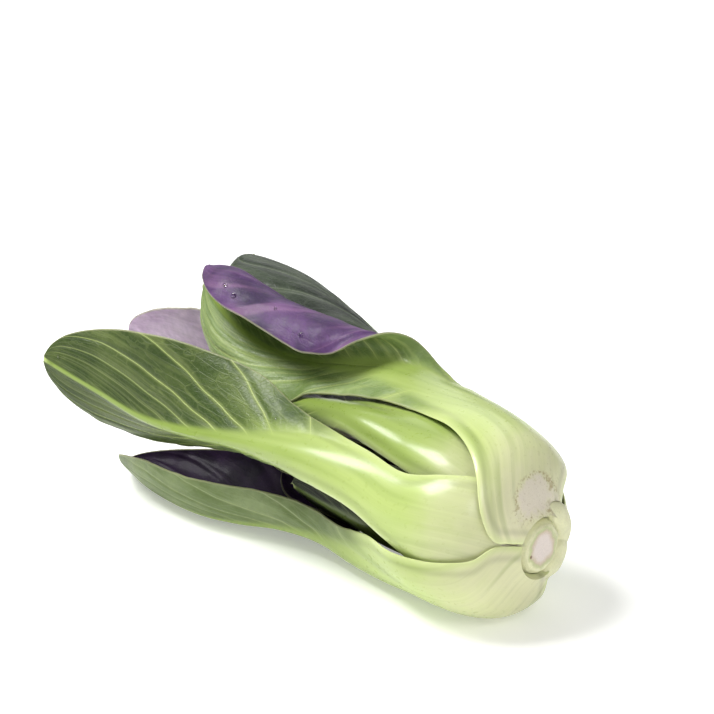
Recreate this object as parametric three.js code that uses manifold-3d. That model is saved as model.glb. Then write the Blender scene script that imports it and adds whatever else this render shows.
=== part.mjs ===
// Purple-topped bok choy: one cut head, lying on its side.
// Every leaf is one piece: a broad fleshy stalk whose base wraps the others into a
// bulb, and a thin blade.  Units are millimetres, +Z is up, the table is z = 0.
// The head's axis lies along X: the cut stem points to +X, the leaf tips to -X.
import * as THREE from 'three';
import { mergeVertices } from 'three/addons/utils/BufferGeometryUtils.js';
import Module from 'manifold-3d';

const wasm = await Module();
wasm.setup();

// ---- driving dimensions ----------------------------------------------------
const CUT_FACE = new THREE.Vector3(112.9, -6.1, 30.6); // centre of the cut across the stem
const TOUCH_GAP = 0.32;      // left between two pieces that touch
const BLADE = 0.9;           // thickness of a blade
const EDGE_CLEAR = 0.5;      // extra width of the clearance round a leaf's margin
const TABLE = { length: 600, width: 400, depth: 60 }; // the block below z = 0 that is cut away
const SLIVER = 0.02;         // detail smaller than this is dropped after a trim
const TIP_ROUND = 0.995;     // how far the rounding runs into the tip before it is closed
const MIDRIB_PROUD = 0.6;    // share of a blade's midrib that stands out of its outer face
const FINE_STEPS = 28;       // steps of the sum across a half leaf
const TIP_CROWDING = 1.15;   // above 1, a leaf's rows lie closer together towards its tip
const SLOPE_STEP = 1e-3;     // step in u and v over which a face's slope is measured
const WAVY = [0.45, 0.75];   // where along a leaf its margins start to wave, and wave in full
const FAR_SHIFT = 2.1;       // radians between the waves of the far margin and the near one
const RIBBED = [0.42, 0.6];  // where along a leaf its midrib starts to stand out, and is out in full
const FLESH_FALL = 1.5;      // power by which the flesh thins out to either side of the midrib
const BULB_ROWS = 2;         // a young leaf's first rows, which stay in the bulb at any length
const CORE_SIDES = 24;       // facets round the stem's core
const COLLAR_SIDES = 12;     // facets along and round each trimmed leaf of the collar
const COLLAR_SPREAD = 5;     // degrees that a trimmed leaf's ends move out per mm of clearance
const WELD = 1e-4;           // points closer than this are one point
const STEM_FINISH = { colour: 0xdfe2bd, roughness: 0.6 };
const LEAF_ROUGHNESS = 0.5;

const rad = THREE.MathUtils.degToRad;

// One station of a leaf.  `x` is along the head's axis from the cut face, `out` the
// distance of the leaf's outer face from the axis, `az` the side it is on (0 is the
// front, -Y; 90 is the top) and `lean` how far its face turns from straight outwards.
// Each half of the leaf, `near` towards smaller az and `far` towards larger, is
// [width, fold, cup, hairpin]: it leaves the midrib folded inwards by `fold` degrees
// and turns by `cup` degrees more before the margin, evenly, or with `hairpin` 1 mostly
// halfway across, as a blade rolled back on itself does.  The stalk is `thick` at its
// middle and thins to the blade over `rib` to either side.
const st = (x, out, az, lean, near, far, rib, thick) => (
  { x, out, az, lean, near, far, rib, thick });

const LEAVES = {
  leaf_top: {
    colour: 0x6f8750, along: 38, across: 22, tip: 0.88, ruffle: 0.9, waves: 3.2,
    stations: [
      st(-0.2, 11.2, 85, 0, [12, 0, 60], [11, 0, 55], 22, 3.6),
      st(-2.2, 15, 85, 0, [17, 0, 64], [15, 0, 55], 20, 4),
      st(-4.6, 22, 86, 0, [25, 0, 67], [20, 0, 53], 18, 4.4),
      st(-8, 28.5, 93, 0, [28, 0, 56], [24, 0, 48], 20, 5.2),
      st(-14, 33.7, 102, 0, [27, 0, 46], [25, 0, 43], 22, 6.5),
      st(-24, 37.2, 109, -2, [25, 0, 40], [25, 0, 39], 21, 7.6),
      st(-38, 40, 112, -7, [22, 0, 34], [22, 0, 38], 18, 8),
      st(-54, 41, 109, -16, [17.5, 0, 26], [18, 0, 40], 14, 7.5),
      st(-64, 41, 107, -18, [16, 0, 24], [14.5, 0, 22], 12.5, 7),
      st(-74, 40.5, 105, -20, [14.5, 0, 22], [14.5, -4, -44, 0.6], 11, 6.4),
      st(-84, 39.5, 104, -20, [14.5, 0, 24], [21.5, -24, -138, 1], 9.5, 5.8),
      st(-94, 38, 103, -20, [15, 0, 28], [33, -38, -188, 1], 8.5, 5.1),
      st(-104, 36.5, 102, -16, [17, 0, 38], [41, -46, -194, 0.8], 7.5, 4.5),
      st(-114, 35, 100, -10, [20, 5, 50], [44, -38, -202, 0.6], 6.5, 3.9),
      st(-134, 35.5, 95, 0, [20, 5, 78], [46, -28, -208, 0.6], 5.2, 3.1),
      st(-152, 41, 94, 0, [17, 15, 85], [46, -20, -228, 0.5], 4.2, 2.5),
      st(-166, 46, 98, 0, [14, 15, 70], [34, -30, -196, 0.5], 3.5, 1.8),
      st(-178, 51, 103, 0, [7.5, 5, 50], [17, -30, -120, 0.5], 3, 1.3),
    ],
  },
  leaf_bottom: {
    colour: 0x7d8c64, along: 24, across: 12, tip: 0.88, ruffle: 1.0, waves: 3.4,
    stations: [
      st(-0.2, 11.2, -50, 0, [12.5, 0, 64], [13.5, 0, 70], 22, 3.6),
      st(-2.2, 15, -51, 0, [17, 0, 64], [18, 0, 68], 20, 4),
      st(-4.6, 21, -53, 0, [22, 0, 60], [24.5, 0, 66], 18, 4.4),
      st(-8, 25.8, -56, 0, [26, 0, 57], [27, 0, 56], 18, 5.2),
      st(-14, 29.3, -59, 0, [29, 0, 57], [31.2, 0, 52], 20, 6.3),
      st(-24, 31.3, -61, 0, [30, 0, 55], [33.5, 0, 49], 20, 7.2),
      st(-38, 31.2, -62, 0, [28, 0, 52], [34, 0, 46], 18, 7.5),
      st(-54, 29.5, -62, 2, [21, 0, 40], [29, 0, 52], 14, 7),
      st(-74, 27, -62, 4, [16, 0, 34], [19, 0, 58], 11, 5.8),
      st(-94, 24.8, -62, 4, [20, 0, 52], [17, 0, 66], 8, 4.6),
      st(-114, 26.4, -60, 0, [33, 0, 88], [18, 0, 64], 6, 3.6),
      st(-134, 30.8, -57, 0, [42, 0, 98], [20.5, 0, 62], 5, 2.8),
      st(-154, 33.3, -54, 0, [46, 0, 100], [22, 0, 58], 4.2, 2.2),
      st(-178, 32, -55, 0, [43, 0, 96], [20, 0, 58], 3.5, 1.6),
      st(-206, 26.5, -68, 0, [27, 0, 78], [16, 0, 50], 3, 1.3),
    ],
  },
  leaf_front: {
    colour: 0x5f7a3c, along: 26, across: 12, tip: 0.89, ruffle: 0.7, waves: 2.6,
    stations: [
      st(-1.5, 10.5, 24, 0, [7, 0, 42], [8, 0, 46], 7, 3),
      st(-4.5, 18, 24, 0, [12, 0, 42], [14, 0, 50], 11, 4),
      st(-9, 24.5, 24, 0, [17, 0, 44], [19, 0, 50], 14, 5),
      st(-16, 30.5, 23, 0, [21, 0, 46], [20, 0, 46], 17, 6.4),
      st(-27, 34.6, 21, 0, [19, 0, 46], [18, 0, 44], 16, 7.8),
      st(-42, 35.2, 20, 0, [12.5, 0, 42], [14.5, 0, 42], 13, 8.4),
      st(-60, 35, 26.5, 0, [9.5, 0, 40], [13.5, 0, 40], 11.5, 7.6),
      st(-80, 35.3, 29.5, 0, [8.5, 0, 45], [14.5, 0, 36], 10, 6.4),
      st(-100, 35.5, 28, 0, [9, 20, 65], [19, 4, 30], 7.5, 5),
      st(-120, 35.5, 24.5, 0, [16, 55, 45], [27, 5, 18], 5.5, 4),
      st(-142, 36, 20, 0, [23, 62, 32], [31, 0, 12], 4.6, 3.1),
      st(-162, 37.5, 19.5, 0, [24.5, 54, 28], [31.5, -8, 4], 3.8, 2.6),
      st(-184, 43.5, 25.5, 0, [21.5, 42, 22], [25, -12, 0], 3.2, 1.9),
      st(-208, 52.5, 31, 0, [20, 28, 14], [20, -12, 0], 2.8, 1.3),
    ],
  },
  leaf_back: {
    colour: 0x9a7f9c, along: 24, across: 12, tip: 0.87, ruffle: 0.9, waves: 3.0,
    stations: [
      st(-1.5, 10.5, 200, 0, [8, 0, 42], [7, 0, 42], 7, 3),
      st(-4.5, 18, 201, 0, [13, 0, 42], [13, 0, 44], 11, 4),
      st(-9, 24.2, 202, 0, [18, 0, 44], [19, 0, 50], 14, 5),
      st(-16, 30, 204, 0, [23, 0, 46], [25, 0, 56], 17, 6.4),
      st(-27, 34, 209, 0, [26, 0, 46], [28, 0, 60], 18, 7.6),
      st(-42, 36, 214, 0, [22, 0, 42], [24, 0, 56], 16, 8),
      st(-60, 36, 217, 0, [16, 0, 36], [17, 0, 44], 13, 7.2),
      st(-80, 33, 210, 0, [13, 0, 28], [13, 0, 30], 10, 6),
      st(-102, 31, 198, 0, [15, 0, 22], [15, 0, 26], 8, 4.8),
      st(-126, 29, 184, 0, [22, 0, 20], [21, 4, 28], 6, 3.8),
      st(-150, 28, 173, 6, [27, 0, 16], [25, 6, 30], 5, 3),
      st(-176, 26, 158, 12, [27, -4, 10], [25, 8, 26], 4.2, 2.3),
      st(-200, 24, 141, 22, [23, -6, 6], [22, 6, 20], 3.4, 1.6),
      st(-225, 22.5, 125, 32, [19, -6, 0], [19, 4, 14], 3, 1.1),
    ],
  },
  inner_leaf_top: {
    colour: 0x8fa45a, along: 18, across: 8, tip: 0.86, ruffle: 0.8, waves: 2.4,
    stations: [
      st(-5, 14, 60, 0, [9, 0, 50], [9, 0, 50], 8, 3),
      st(-10, 20.5, 62, 0, [13, 0, 48], [13, 0, 48], 11, 4.5),
      st(-18, 27, 64, 0, [15, 0, 46], [16, 0, 50], 13, 6),
      st(-30, 32.2, 65, 0, [14, 0, 56], [18, 0, 44], 14, 8),
      st(-45, 34, 65, 0, [12, 0, 60], [20, 0, 34], 12, 9),
      st(-62, 33.5, 66, 0, [9, 0, 56], [20, 0, 26], 10, 8),
      st(-80, 32, 68, 0, [6.5, 0, 50], [18, 0, 28], 8, 6),
      st(-98, 28.5, 73, 0, [8, 0, 46], [16, 0, 34], 6, 4.2),
      st(-120, 25, 79, 0, [14, 0, 56], [16, 0, 50], 4, 2.4),
      st(-144, 24, 82, 0, [16, 0, 56], [17, 0, 50], 3.2, 1.5),
      st(-166, 24, 84, 0, [12, 0, 50], [12, 0, 46], 3, 1.1),
    ],
  },
  inner_leaf_back: {
    colour: 0x5e7358, along: 20, across: 10, tip: 0.88, ruffle: 1.0, waves: 3.0,
    stations: [
      st(-5, 14, 152, 0, [10, 0, 50], [10, 0, 50], 8, 3),
      st(-10, 20.5, 152, 0, [14, 0, 50], [14, 0, 50], 11, 4.5),
      st(-18, 26, 152, 0, [17, 0, 50], [17, 0, 50], 13, 6),
      st(-30, 29.5, 152, 0, [17, 0, 50], [17, 0, 50], 14, 7),
      st(-45, 31.5, 151, 0, [14, 0, 42], [14, 0, 46], 12, 7),
      st(-62, 35, 149, 0, [11, 0, 34], [11, 0, 34], 9, 6),
      st(-82, 41, 145, 0, [11, 0, 30], [11, 0, 30], 7, 4.6),
      st(-104, 50, 139, 0, [27, -8, 56], [17, 0, 24], 5.5, 3.7),
      st(-126, 58, 133, 0, [34, -10, 84], [24, 0, 20], 4.5, 2.9),
      st(-148, 64.5, 127, 0, [36, -10, 92], [27, 0, 14], 3.8, 2.3),
      st(-162, 66, 123, 0, [30, -10, 80], [24, 0, 10], 3.2, 1.8),
      st(-174, 66, 119, 0, [23, -8, 54], [18, 0, 8], 3, 1.3),
    ],
  },
};

// The young leaves of the heart are small copies of one plan, each on its own side.
// A plan row is [x, out, half width, cup, rib, thick] for a leaf 100 long.
const YOUNG_PLAN = [
  [-7, 8.5, 6, 50, 5.5, 3],
  [-14, 13.5, 9.5, 48, 9, 5.5],
  [-26, 17, 11.5, 48, 11, 7],
  [-42, 17.5, 10, 46, 9, 6.6],
  [-58, 16.5, 8.5, 46, 6, 4.6],
  [-74, 15, 11, 54, 4, 2.8],
  [-88, 14, 11, 52, 3, 1.9],
  [-100, 13, 8, 46, 2.6, 1.3],
];
const youngLeaf = (colour, az, size, out, twist) => ({
  colour, along: 14, across: 6, tip: 0.84, ruffle: 0.5, waves: 2,
  stations: YOUNG_PLAN.map(([x, r, wide, cup, rib, thick], i) => st(
    i < BULB_ROWS ? x : x * size, r * out, az + twist * i, 0,
    [wide * out, 0, cup], [wide * out, 0, cup], rib * out, thick,
  )),
});
Object.assign(LEAVES, {
  inner_leaf_front: youngLeaf(0x6c8045, -34, 1.05, 1.18, 3),
  inner_leaf_bottom: youngLeaf(0x6c8045, 252, 1.35, 1.3, -3),
  heart_leaf_1: youngLeaf(0x7f9a4c, 28, 1.3, 0.95, 2),
  heart_leaf_2: youngLeaf(0x7f9a4c, 140, 1.2, 0.9, 2),
  heart_leaf_3: youngLeaf(0x7f9a4c, 260, 1.0, 0.85, 2),
});

// ---- interpolation ---------------------------------------------------------
// Catmull-Rom through a list of numbers, for u in 0..1; the ends carry on straight.
function along(values, u) {
  const n = values.length - 1;
  const i = Math.min(n - 1, Math.floor(u * n));
  const f = u * n - i;
  const p1 = values[i];
  const p2 = values[i + 1];
  const p0 = i > 0 ? values[i - 1] : 2 * p1 - p2;
  const p3 = i < n - 1 ? values[i + 2] : 2 * p2 - p1;
  return 0.5 * (2 * p1 + (p2 - p0) * f + (2 * p0 - 5 * p1 + 4 * p2 - p3) * f * f
    + (3 * p1 - p0 - 3 * p2 + p3) * f * f * f);
}

const smooth = (a, b, v) => {
  const q = Math.min(1, Math.max(0, (v - a) / (b - a)));
  return q * q * (3 - 2 * q);
};

// ---- leaf surface ----------------------------------------------------------
// A point of the leaf's outer face, before its clearance.  u runs from base to tip,
// v from -1 (near margin) over 0 (midrib) to 1 (far margin).  The section lies across
// the axis: its direction turns from `fold` at the midrib by `cup` up to the margin,
// and the point is the sum of the small steps taken in that direction.  `widen` carries
// the section on past its margins, along the same curve.
function leafPoint(leaf, u, v, widen) {
  const at = (pick) => along(leaf.stations.map(pick), u);
  const side = v < 0 ? 'near' : 'far';
  const az = rad(at((s) => s.az));
  const face = az + rad(at((s) => s.lean));
  const out = at((s) => s.out);
  const tip = TIP_ROUND * Math.max(0, (u - leaf.tip) / (1 - leaf.tip));
  const wide = at((s) => s[side][0]) * Math.sqrt(1 - tip * tip);
  const reach = Math.abs(v) * (1 + widen / wide);
  const fold = rad(at((s) => s[side][1]));
  const cup = rad(at((s) => s[side][2]));
  const hairpin = at((s) => s[side][3] ?? 0);
  let across = 0;
  let inward = 0;
  for (let k = 0; k < FINE_STEPS; k += 1) {
    const mid = reach * (k + 0.5) / FINE_STEPS;
    const turned = fold + cup * (mid + hairpin * (smooth(0, 1, mid) - mid));
    across += Math.cos(turned);
    inward += Math.sin(turned);
  }
  const step = wide * reach / FINE_STEPS;
  const wave = leaf.ruffle * smooth(...WAVY, u) * reach * reach
    * Math.sin(2 * Math.PI * leaf.waves * u + (v < 0 ? 0 : FAR_SHIFT));
  const c = Math.sign(v) * across * step;
  const d = wave - inward * step;
  return new THREE.Vector3(
    at((s) => s.x),
    -out * Math.cos(az) - d * Math.cos(face) + c * Math.sin(face),
    out * Math.sin(az) + d * Math.sin(face) + c * Math.cos(face),
  );
}

// The closed leaf: the outer face, the inner face laid under it by the thickness, and
// the rim between them.  `grow` swells the whole leaf by that much, for a clearance.
function leafGeometry(leaf, grow = 0) {
  const rows = leaf.along;
  const cols = leaf.across;
  const widen = grow > 0 ? grow + EDGE_CLEAR : 0;
  const outer = [];
  const inner = [];
  for (let i = 0; i <= rows; i += 1) {
    const u = 1 - (1 - i / rows) ** TIP_CROWDING;
    const rib = along(leaf.stations.map((s) => s.rib), u);
    const thick = along(leaf.stations.map((s) => s.thick), u);
    const near = along(leaf.stations.map((s) => s.near[0]), u);
    const far = along(leaf.stations.map((s) => s.far[0]), u);
    for (let j = 0; j <= cols; j += 1) {
      const v = 2 * j / cols - 1;
      const e = SLOPE_STEP;
      const p = leafPoint(leaf, u, v, widen);
      const du = leafPoint(leaf, Math.min(1, u + e), v, widen)
        .sub(leafPoint(leaf, Math.max(0, u - e), v, widen));
      const dv = leafPoint(leaf, u, Math.min(1, v + e), widen)
        .sub(leafPoint(leaf, u, Math.max(-1, v - e), widen));
      const n = dv.cross(du).normalize();
      p.addScaledVector(du.normalize(), widen * ((i === rows) - (i === 0)));
      const q = Math.min(1, Math.abs(v) * ((v < 0 ? near : far) + widen) / rib);
      const flesh = (thick - BLADE) * (1 - q * q) ** FLESH_FALL;
      const proud = MIDRIB_PROUD * smooth(...RIBBED, u) * flesh;
      outer.push(p.clone().addScaledVector(n, proud + grow));
      inner.push(p.clone().addScaledVector(n, proud - flesh - BLADE - grow));
    }
  }
  const count = outer.length;
  const position = [...outer, ...inner].flatMap((p) => [p.x, p.y, p.z]);
  const index = [];
  const quad = (a, b, c, d) => index.push(a, b, c, a, c, d);
  const id = (i, j) => i * (cols + 1) + j;
  for (let i = 0; i < rows; i += 1) {
    for (let j = 0; j < cols; j += 1) {
      quad(id(i, j), id(i, j + 1), id(i + 1, j + 1), id(i + 1, j));
      quad(count + id(i, j), count + id(i + 1, j), count + id(i + 1, j + 1), count + id(i, j + 1));
    }
    quad(id(i, 0), id(i + 1, 0), count + id(i + 1, 0), count + id(i, 0));
    quad(id(i + 1, cols), id(i, cols), count + id(i, cols), count + id(i + 1, cols));
  }
  for (let j = 0; j < cols; j += 1) {
    quad(id(0, j + 1), id(0, j), count + id(0, j), count + id(0, j + 1));
    quad(id(rows, j), id(rows, j + 1), count + id(rows, j + 1), count + id(rows, j));
  }
  const geometry = new THREE.BufferGeometry();
  geometry.setAttribute('position', new THREE.Float32BufferAttribute(position, 3));
  geometry.setIndex(index);
  return geometry;
}

// ---- cut stem --------------------------------------------------------------
// The short core that all leaves grow from, as [x, radius] from its hidden inner end
// to the cut, and on its far side the collar left by two trimmed leaves: crescents
// laid round the core, each from `az - half` to `az + half` and tapering to its ends.
const CORE = [[-30, 0], [-28, 2.5], [-18, 6.5], [-10, 10], [-5, 10.6], [-2, 9.4], [-0.4, 8.2],
  [0, 7.4], [0, 0]];
const COLLAR = [
  { az: 161, half: 46, x: -3, out: 13.2, wide: 4.4, deep: 2.9 },
  { az: 217, half: 42, x: -2.5, out: 12, wide: 4, deep: 2.7 },
];

function crescent({ az, half, x, out, wide, deep }, grow) {
  const shape = new THREE.SphereGeometry(1, COLLAR_SIDES, COLLAR_SIDES);
  const p = shape.attributes.position;
  for (let i = 0; i < p.count; i += 1) {
    const turn = rad(az - (half + grow * COLLAR_SPREAD) * p.getY(i));
    const r = out + (wide + grow) * p.getX(i);
    p.setXYZ(i, x + (deep + grow) * p.getZ(i), -r * Math.cos(turn), r * Math.sin(turn));
  }
  return solid(shape);
}

function stemSolid(grow = 0) {
  const profile = CORE.map(([x, r]) => new THREE.Vector2(r > 0 ? r + grow : 0,
    x + (r > 0 ? 0 : grow * Math.sign(x + 1))));
  const core = solid(new THREE.LatheGeometry(profile, CORE_SIDES).rotateZ(-Math.PI / 2));
  return COLLAR.reduce((body, part) => body.add(crescent(part, grow)), core);
}

// ---- solids ----------------------------------------------------------------
function solid(geometry) {
  const bare = geometry.clone();
  bare.deleteAttribute('normal');
  bare.deleteAttribute('uv');
  const merged = mergeVertices(bare, WELD);
  return new wasm.Manifold(new wasm.Mesh({
    numProp: 3,
    vertProperties: new Float32Array(merged.attributes.position.array),
    triVerts: new Uint32Array(merged.index.array),
  }));
}

// The largest body of a solid, as a geometry: a trim can leave a loose scrap.
function toGeometry(body) {
  const parts = body.simplify(SLIVER).decompose().sort((a, b) => b.volume() - a.volume());
  const mesh = parts[0].getMesh();
  const geometry = new THREE.BufferGeometry();
  geometry.setAttribute('position', new THREE.BufferAttribute(mesh.vertProperties, 3));
  geometry.setIndex(new THREE.BufferAttribute(mesh.triVerts, 1));
  geometry.computeVertexNormals();
  return geometry;
}

const table = solid(new THREE.BoxGeometry(TABLE.length, TABLE.width, TABLE.depth)
  .translate(0, 0, -TABLE.depth / 2 - CUT_FACE.z));

const head = new THREE.Group();
head.name = 'bok_choy';

function addPiece(name, body, { colour, roughness = LEAF_ROUGHNESS }) {
  const material = new THREE.MeshStandardMaterial({ color: colour, roughness, metalness: 0 });
  const mesh = new THREE.Mesh(toGeometry(body), material);
  mesh.name = name;
  mesh.position.copy(CUT_FACE);
  head.add(mesh);
}

// Each leaf gives way to the stem, to the table and to the leaves outside it, which
// come before it in the list.
addPiece('stem_base', stemSolid(), STEM_FINISH);
let taken = stemSolid(TOUCH_GAP);
for (const [name, leaf] of Object.entries(LEAVES)) {
  addPiece(name, solid(leafGeometry(leaf)).subtract(taken).subtract(table), leaf);
  taken = taken.add(solid(leafGeometry(leaf, TOUCH_GAP)));
}

export default head;
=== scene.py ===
"""One cut head of purple-topped bok choy, lying on its side.

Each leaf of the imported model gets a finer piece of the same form: a fleshy pale stalk, a
veined blade that is green outside and purple inside, and a rounded thin margin.  The head's
axis lies along X, with the cut stem at +X.  Shapes are worked out in millimetres from the
centre of the cut and turned to metres as they go into a mesh.
"""
import logging
import math
from dataclasses import dataclass, field
from enum import Enum
from typing import Callable, Sequence

import bmesh
import bpy
import numpy as np
from mathutils import Matrix


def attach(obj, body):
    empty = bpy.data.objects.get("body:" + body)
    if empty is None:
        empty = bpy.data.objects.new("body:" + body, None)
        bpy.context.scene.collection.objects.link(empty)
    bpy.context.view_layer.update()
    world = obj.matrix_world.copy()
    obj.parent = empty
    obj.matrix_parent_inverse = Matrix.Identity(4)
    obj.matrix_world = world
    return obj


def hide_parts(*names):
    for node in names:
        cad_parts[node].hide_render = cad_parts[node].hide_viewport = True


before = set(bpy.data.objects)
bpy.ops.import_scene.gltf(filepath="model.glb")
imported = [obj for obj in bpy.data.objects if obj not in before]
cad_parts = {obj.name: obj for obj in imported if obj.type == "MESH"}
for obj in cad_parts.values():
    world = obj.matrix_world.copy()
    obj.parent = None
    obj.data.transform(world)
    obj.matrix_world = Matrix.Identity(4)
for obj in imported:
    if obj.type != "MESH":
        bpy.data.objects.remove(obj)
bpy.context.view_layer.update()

log = logging.getLogger("bok_choy")

MM = 0.001
CUT_FACE = np.array([112.9, -6.1, 30.6])    # centre of the cut across the stem, mm
BLADE = 0.9                                 # thickness of a blade, mm
BLADE_EDGE = 0.6                            # depth over which a blade's margin rounds off, mm
STALK_EDGE = 3.2                            # depth over which a stalk's margin thins out, mm
MIDRIB_PROUD = 0.6                          # share of a midrib that stands out of the outer face
TOUCH_GAP = 0.2                             # left between two leaves that press together, mm
EDGE_CLEAR = 0.15                           # extra width of the room cut for a neighbour's margin
FLESH_FALL = 1.5                            # power by which the flesh thins out beside the midrib
ROW_CROWDING = 1.3                          # above 1, a leaf's rows lie closer together at the tip
COLUMN_CROWDING = 1.5                       # and its columns at the margins
ROOM_CROWDING = 1.15                        # the same for the rows of the room that a leaf takes
SLOPE_STEP = 1e-3                           # step in u and v over which a slope is measured
WAVY = (0.45, 0.75)                         # where along a leaf its margin starts to wave, and does
RIBBED = (0.42, 0.6)                        # where along a leaf its midrib starts to stand out, and does
FAR_SHIFT = 2.1                             # radians between the waves of the two margins
WING = (0.25, 1.0)                          # where across a half the blade starts sooner, and soonest
BLADE_START = (-14, 16)                     # run before and after its start in which it sets in, mm
MIDRIB_EDGE = (0.35, 1.0)                   # where across, in midrib widths, a midrib turns to blade
MIDRIB_THINNING = 0.62                      # how much of its width a midrib loses towards the tip
MIDRIB_END = 0.9                            # where along a leaf it has lost that
VEIN_ROOT = 14.0                            # run between two side veins at the midrib, mm
VEIN_SPREAD = 26.0                          # how much further apart they are at the margin, mm
VEIN_CURVE = 1.2                            # power by which they fan out on the way
STRONG_VEINS = 4.4                          # how many side veins there are before they grow faint
FAINT_VEIN = 0.14                           # how strong those after them are
VEIN_FADE = (STRONG_VEINS + 2.0, STRONG_VEINS - 1.0)    # counts at which they are faint, and strong
VEIN_LEAD = 0.42                            # how far those of the far half are ahead, in roots
VEIN_RIDGE = (1.3, 0.2)                     # half breadth of a raised vein at its foot and crest, mm
RIDGE_FALL = 0.6                            # how much lower it is at the margin
RIDGE_UNDER = 0.4                           # share of it that also lifts the inner face
SWELL_FOOT = 6.0                            # how far from a side vein the swell is in full, mm
SWELL_MARGIN = 5.0                          # and how far from the margin, mm
SHORT_WAVES = ((1.0, 0.36), (0.7, 0.59), (0.4, 0.97))   # share and radians per mm of each sine
NO_SCAR = 9.0                               # distance, in scar radii, where a leaf has no scar
FINE_STEPS = 28                             # steps of the sum across a half leaf
TIP_CLOSE = 0.999                           # how far the rounding runs into the tip
CREASE = math.radians(48)                   # edges sharper than this stay sharp

Colour = tuple[float, float, float, float]
Array = np.ndarray


# ---- small sums ------------------------------------------------------------------------------
def srgb(red: int, green: int, blue: int) -> Colour:
    """Turn a screen colour into the linear colour that a shader takes.

    A part of the colour is divided by 12.92 in the deepest shades, and elsewhere raised to the
    power 2.4 after a small offset.

    Args:
        red: 0 to 255.
        green: 0 to 255.
        blue: 0 to 255.

    Returns:
        The linear colour, opaque.
    """
    parts = np.array([red, green, blue]) / 255.0
    linear = np.where(parts <= 0.04045, parts / 12.92, ((parts + 0.055) / 1.055) ** 2.4)
    return (*map(float, linear), 1.0)


def smooth(low: float | Array, high: float | Array, value: float | Array) -> Array:
    """Ease from 0 at `low` to 1 at `high`: 3q^2 - 2q^3 of the clipped share q."""
    q = np.clip((value - low) / (high - low), 0.0, 1.0)
    return q * q * (3.0 - 2.0 * q)


def along(values: Sequence[float], u: Array) -> Array:
    """Carry a smooth curve through evenly spaced values.

    The curve is a Catmull-Rom spline, and a value mirrored in each end makes the ends run on
    straight.

    Args:
        values: the value at each station, from base to tip.
        u: where to read the curve, 0 at the first station and 1 at the last.

    Returns:
        The curve's value at each u.
    """
    knots = np.asarray(values, float)
    padded = np.concatenate(([2 * knots[0] - knots[1]], knots, [2 * knots[-1] - knots[-2]]))
    last = len(knots) - 1
    i = np.clip(np.floor(u * last).astype(int), 0, last - 1)
    f = u * last - i
    p0, p1, p2, p3 = (padded[i + k] for k in range(4))
    bend = (2 * p0 - 5 * p1 + 4 * p2 - p3) * f**2 + (3 * p1 - p0 - 3 * p2 + p3) * f**3
    return 0.5 * (2 * p1 + (p2 - p0) * f + bend)


def unit(vectors: Array) -> Array:
    """Scale each vector to length 1."""
    return vectors / np.maximum(np.linalg.norm(vectors, axis=-1, keepdims=True), 1e-12)


# ---- meshes ----------------------------------------------------------------------------------
@dataclass
class Shell:
    """A closed mesh in the making: its points in mm, its faces, and what its corners carry."""

    points: Array
    quads: Array
    triangles: Array
    marks: dict[str, Array] = field(default_factory=dict)

    def mesh(self, name: str) -> bpy.types.Mesh:
        """Turn the shell into a mesh in metres, in the head's frame.

        Args:
            name: the mesh's name.

        Returns:
            The mesh, smooth shaded, with each mark as a vector on its face corners.
        """
        made = bpy.data.meshes.new(name)
        places = (self.points + CUT_FACE) * MM
        made.from_pydata(places, [], self.quads.tolist() + self.triangles.tolist())
        corner = np.empty(len(made.loops), np.int32)
        made.loops.foreach_get("vertex_index", corner)
        for mark, values in self.marks.items():
            layer = made.attributes.new(mark, "FLOAT_VECTOR", "CORNER")
            layer.data.foreach_set("vector", values[corner].astype(np.float32).ravel())
        made.shade_smooth()
        return made


def cells(grid: Array) -> Array:
    """List the four corners of each cell of a grid of point numbers."""
    return np.stack((grid[:-1, :-1], grid[:-1, 1:], grid[1:, 1:], grid[1:, :-1]), -1).reshape(-1, 4)


def link(name: str, mesh: bpy.types.Mesh) -> bpy.types.Object:
    """Show a mesh in the scene as an object at the origin.

    Args:
        name: the object's name.
        mesh: its mesh.

    Returns:
        The object.
    """
    made = bpy.data.objects.new(name, mesh)
    bpy.context.scene.collection.objects.link(made)
    return made


def combine(body: bpy.types.Mesh, tool: bpy.types.Mesh, operation: str) -> bpy.types.Mesh:
    """Join two closed meshes, or cut one out of the other.

    Args:
        body: the mesh that is kept.
        tool: the mesh that is joined to it or cut from it.
        operation: UNION or DIFFERENCE.

    Returns:
        A new mesh.
    """
    host, guest = link("host", body), link("guest", tool)
    step = host.modifiers.new(operation, "BOOLEAN")
    step.operation, step.object, step.solver = operation, guest, "MANIFOLD"
    ready = host.evaluated_get(bpy.context.evaluated_depsgraph_get())
    made = bpy.data.meshes.new_from_object(ready)
    bpy.data.objects.remove(host)
    bpy.data.objects.remove(guest)
    return made


def keep_largest(mesh: bpy.types.Mesh) -> None:
    """Drop all but the largest connected part of a mesh, since a trim can leave a scrap.

    Each point takes the lowest label among its neighbours until no label changes.

    Args:
        mesh: the mesh, which is changed.
    """
    edges = np.empty(len(mesh.edges) * 2, np.int32)
    mesh.edges.foreach_get("vertices", edges)
    a, b = edges.reshape(-1, 2).T
    label = np.arange(len(mesh.vertices))
    while True:
        lowest = label.copy()
        np.minimum.at(lowest, a, label[b])
        np.minimum.at(lowest, b, label[a])
        lowest = lowest[lowest]
        if np.array_equal(lowest, label):
            break
        label = lowest
    names, sizes = np.unique(label, return_counts=True)
    if len(names) == 1:
        return
    cleaner = bmesh.new()
    cleaner.from_mesh(mesh)
    cleaner.verts.ensure_lookup_table()
    scraps = np.flatnonzero(label != names[np.argmax(sizes)])
    bmesh.ops.delete(cleaner, geom=[cleaner.verts[i] for i in scraps], context="VERTS")
    cleaner.to_mesh(mesh)
    cleaner.free()


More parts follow.
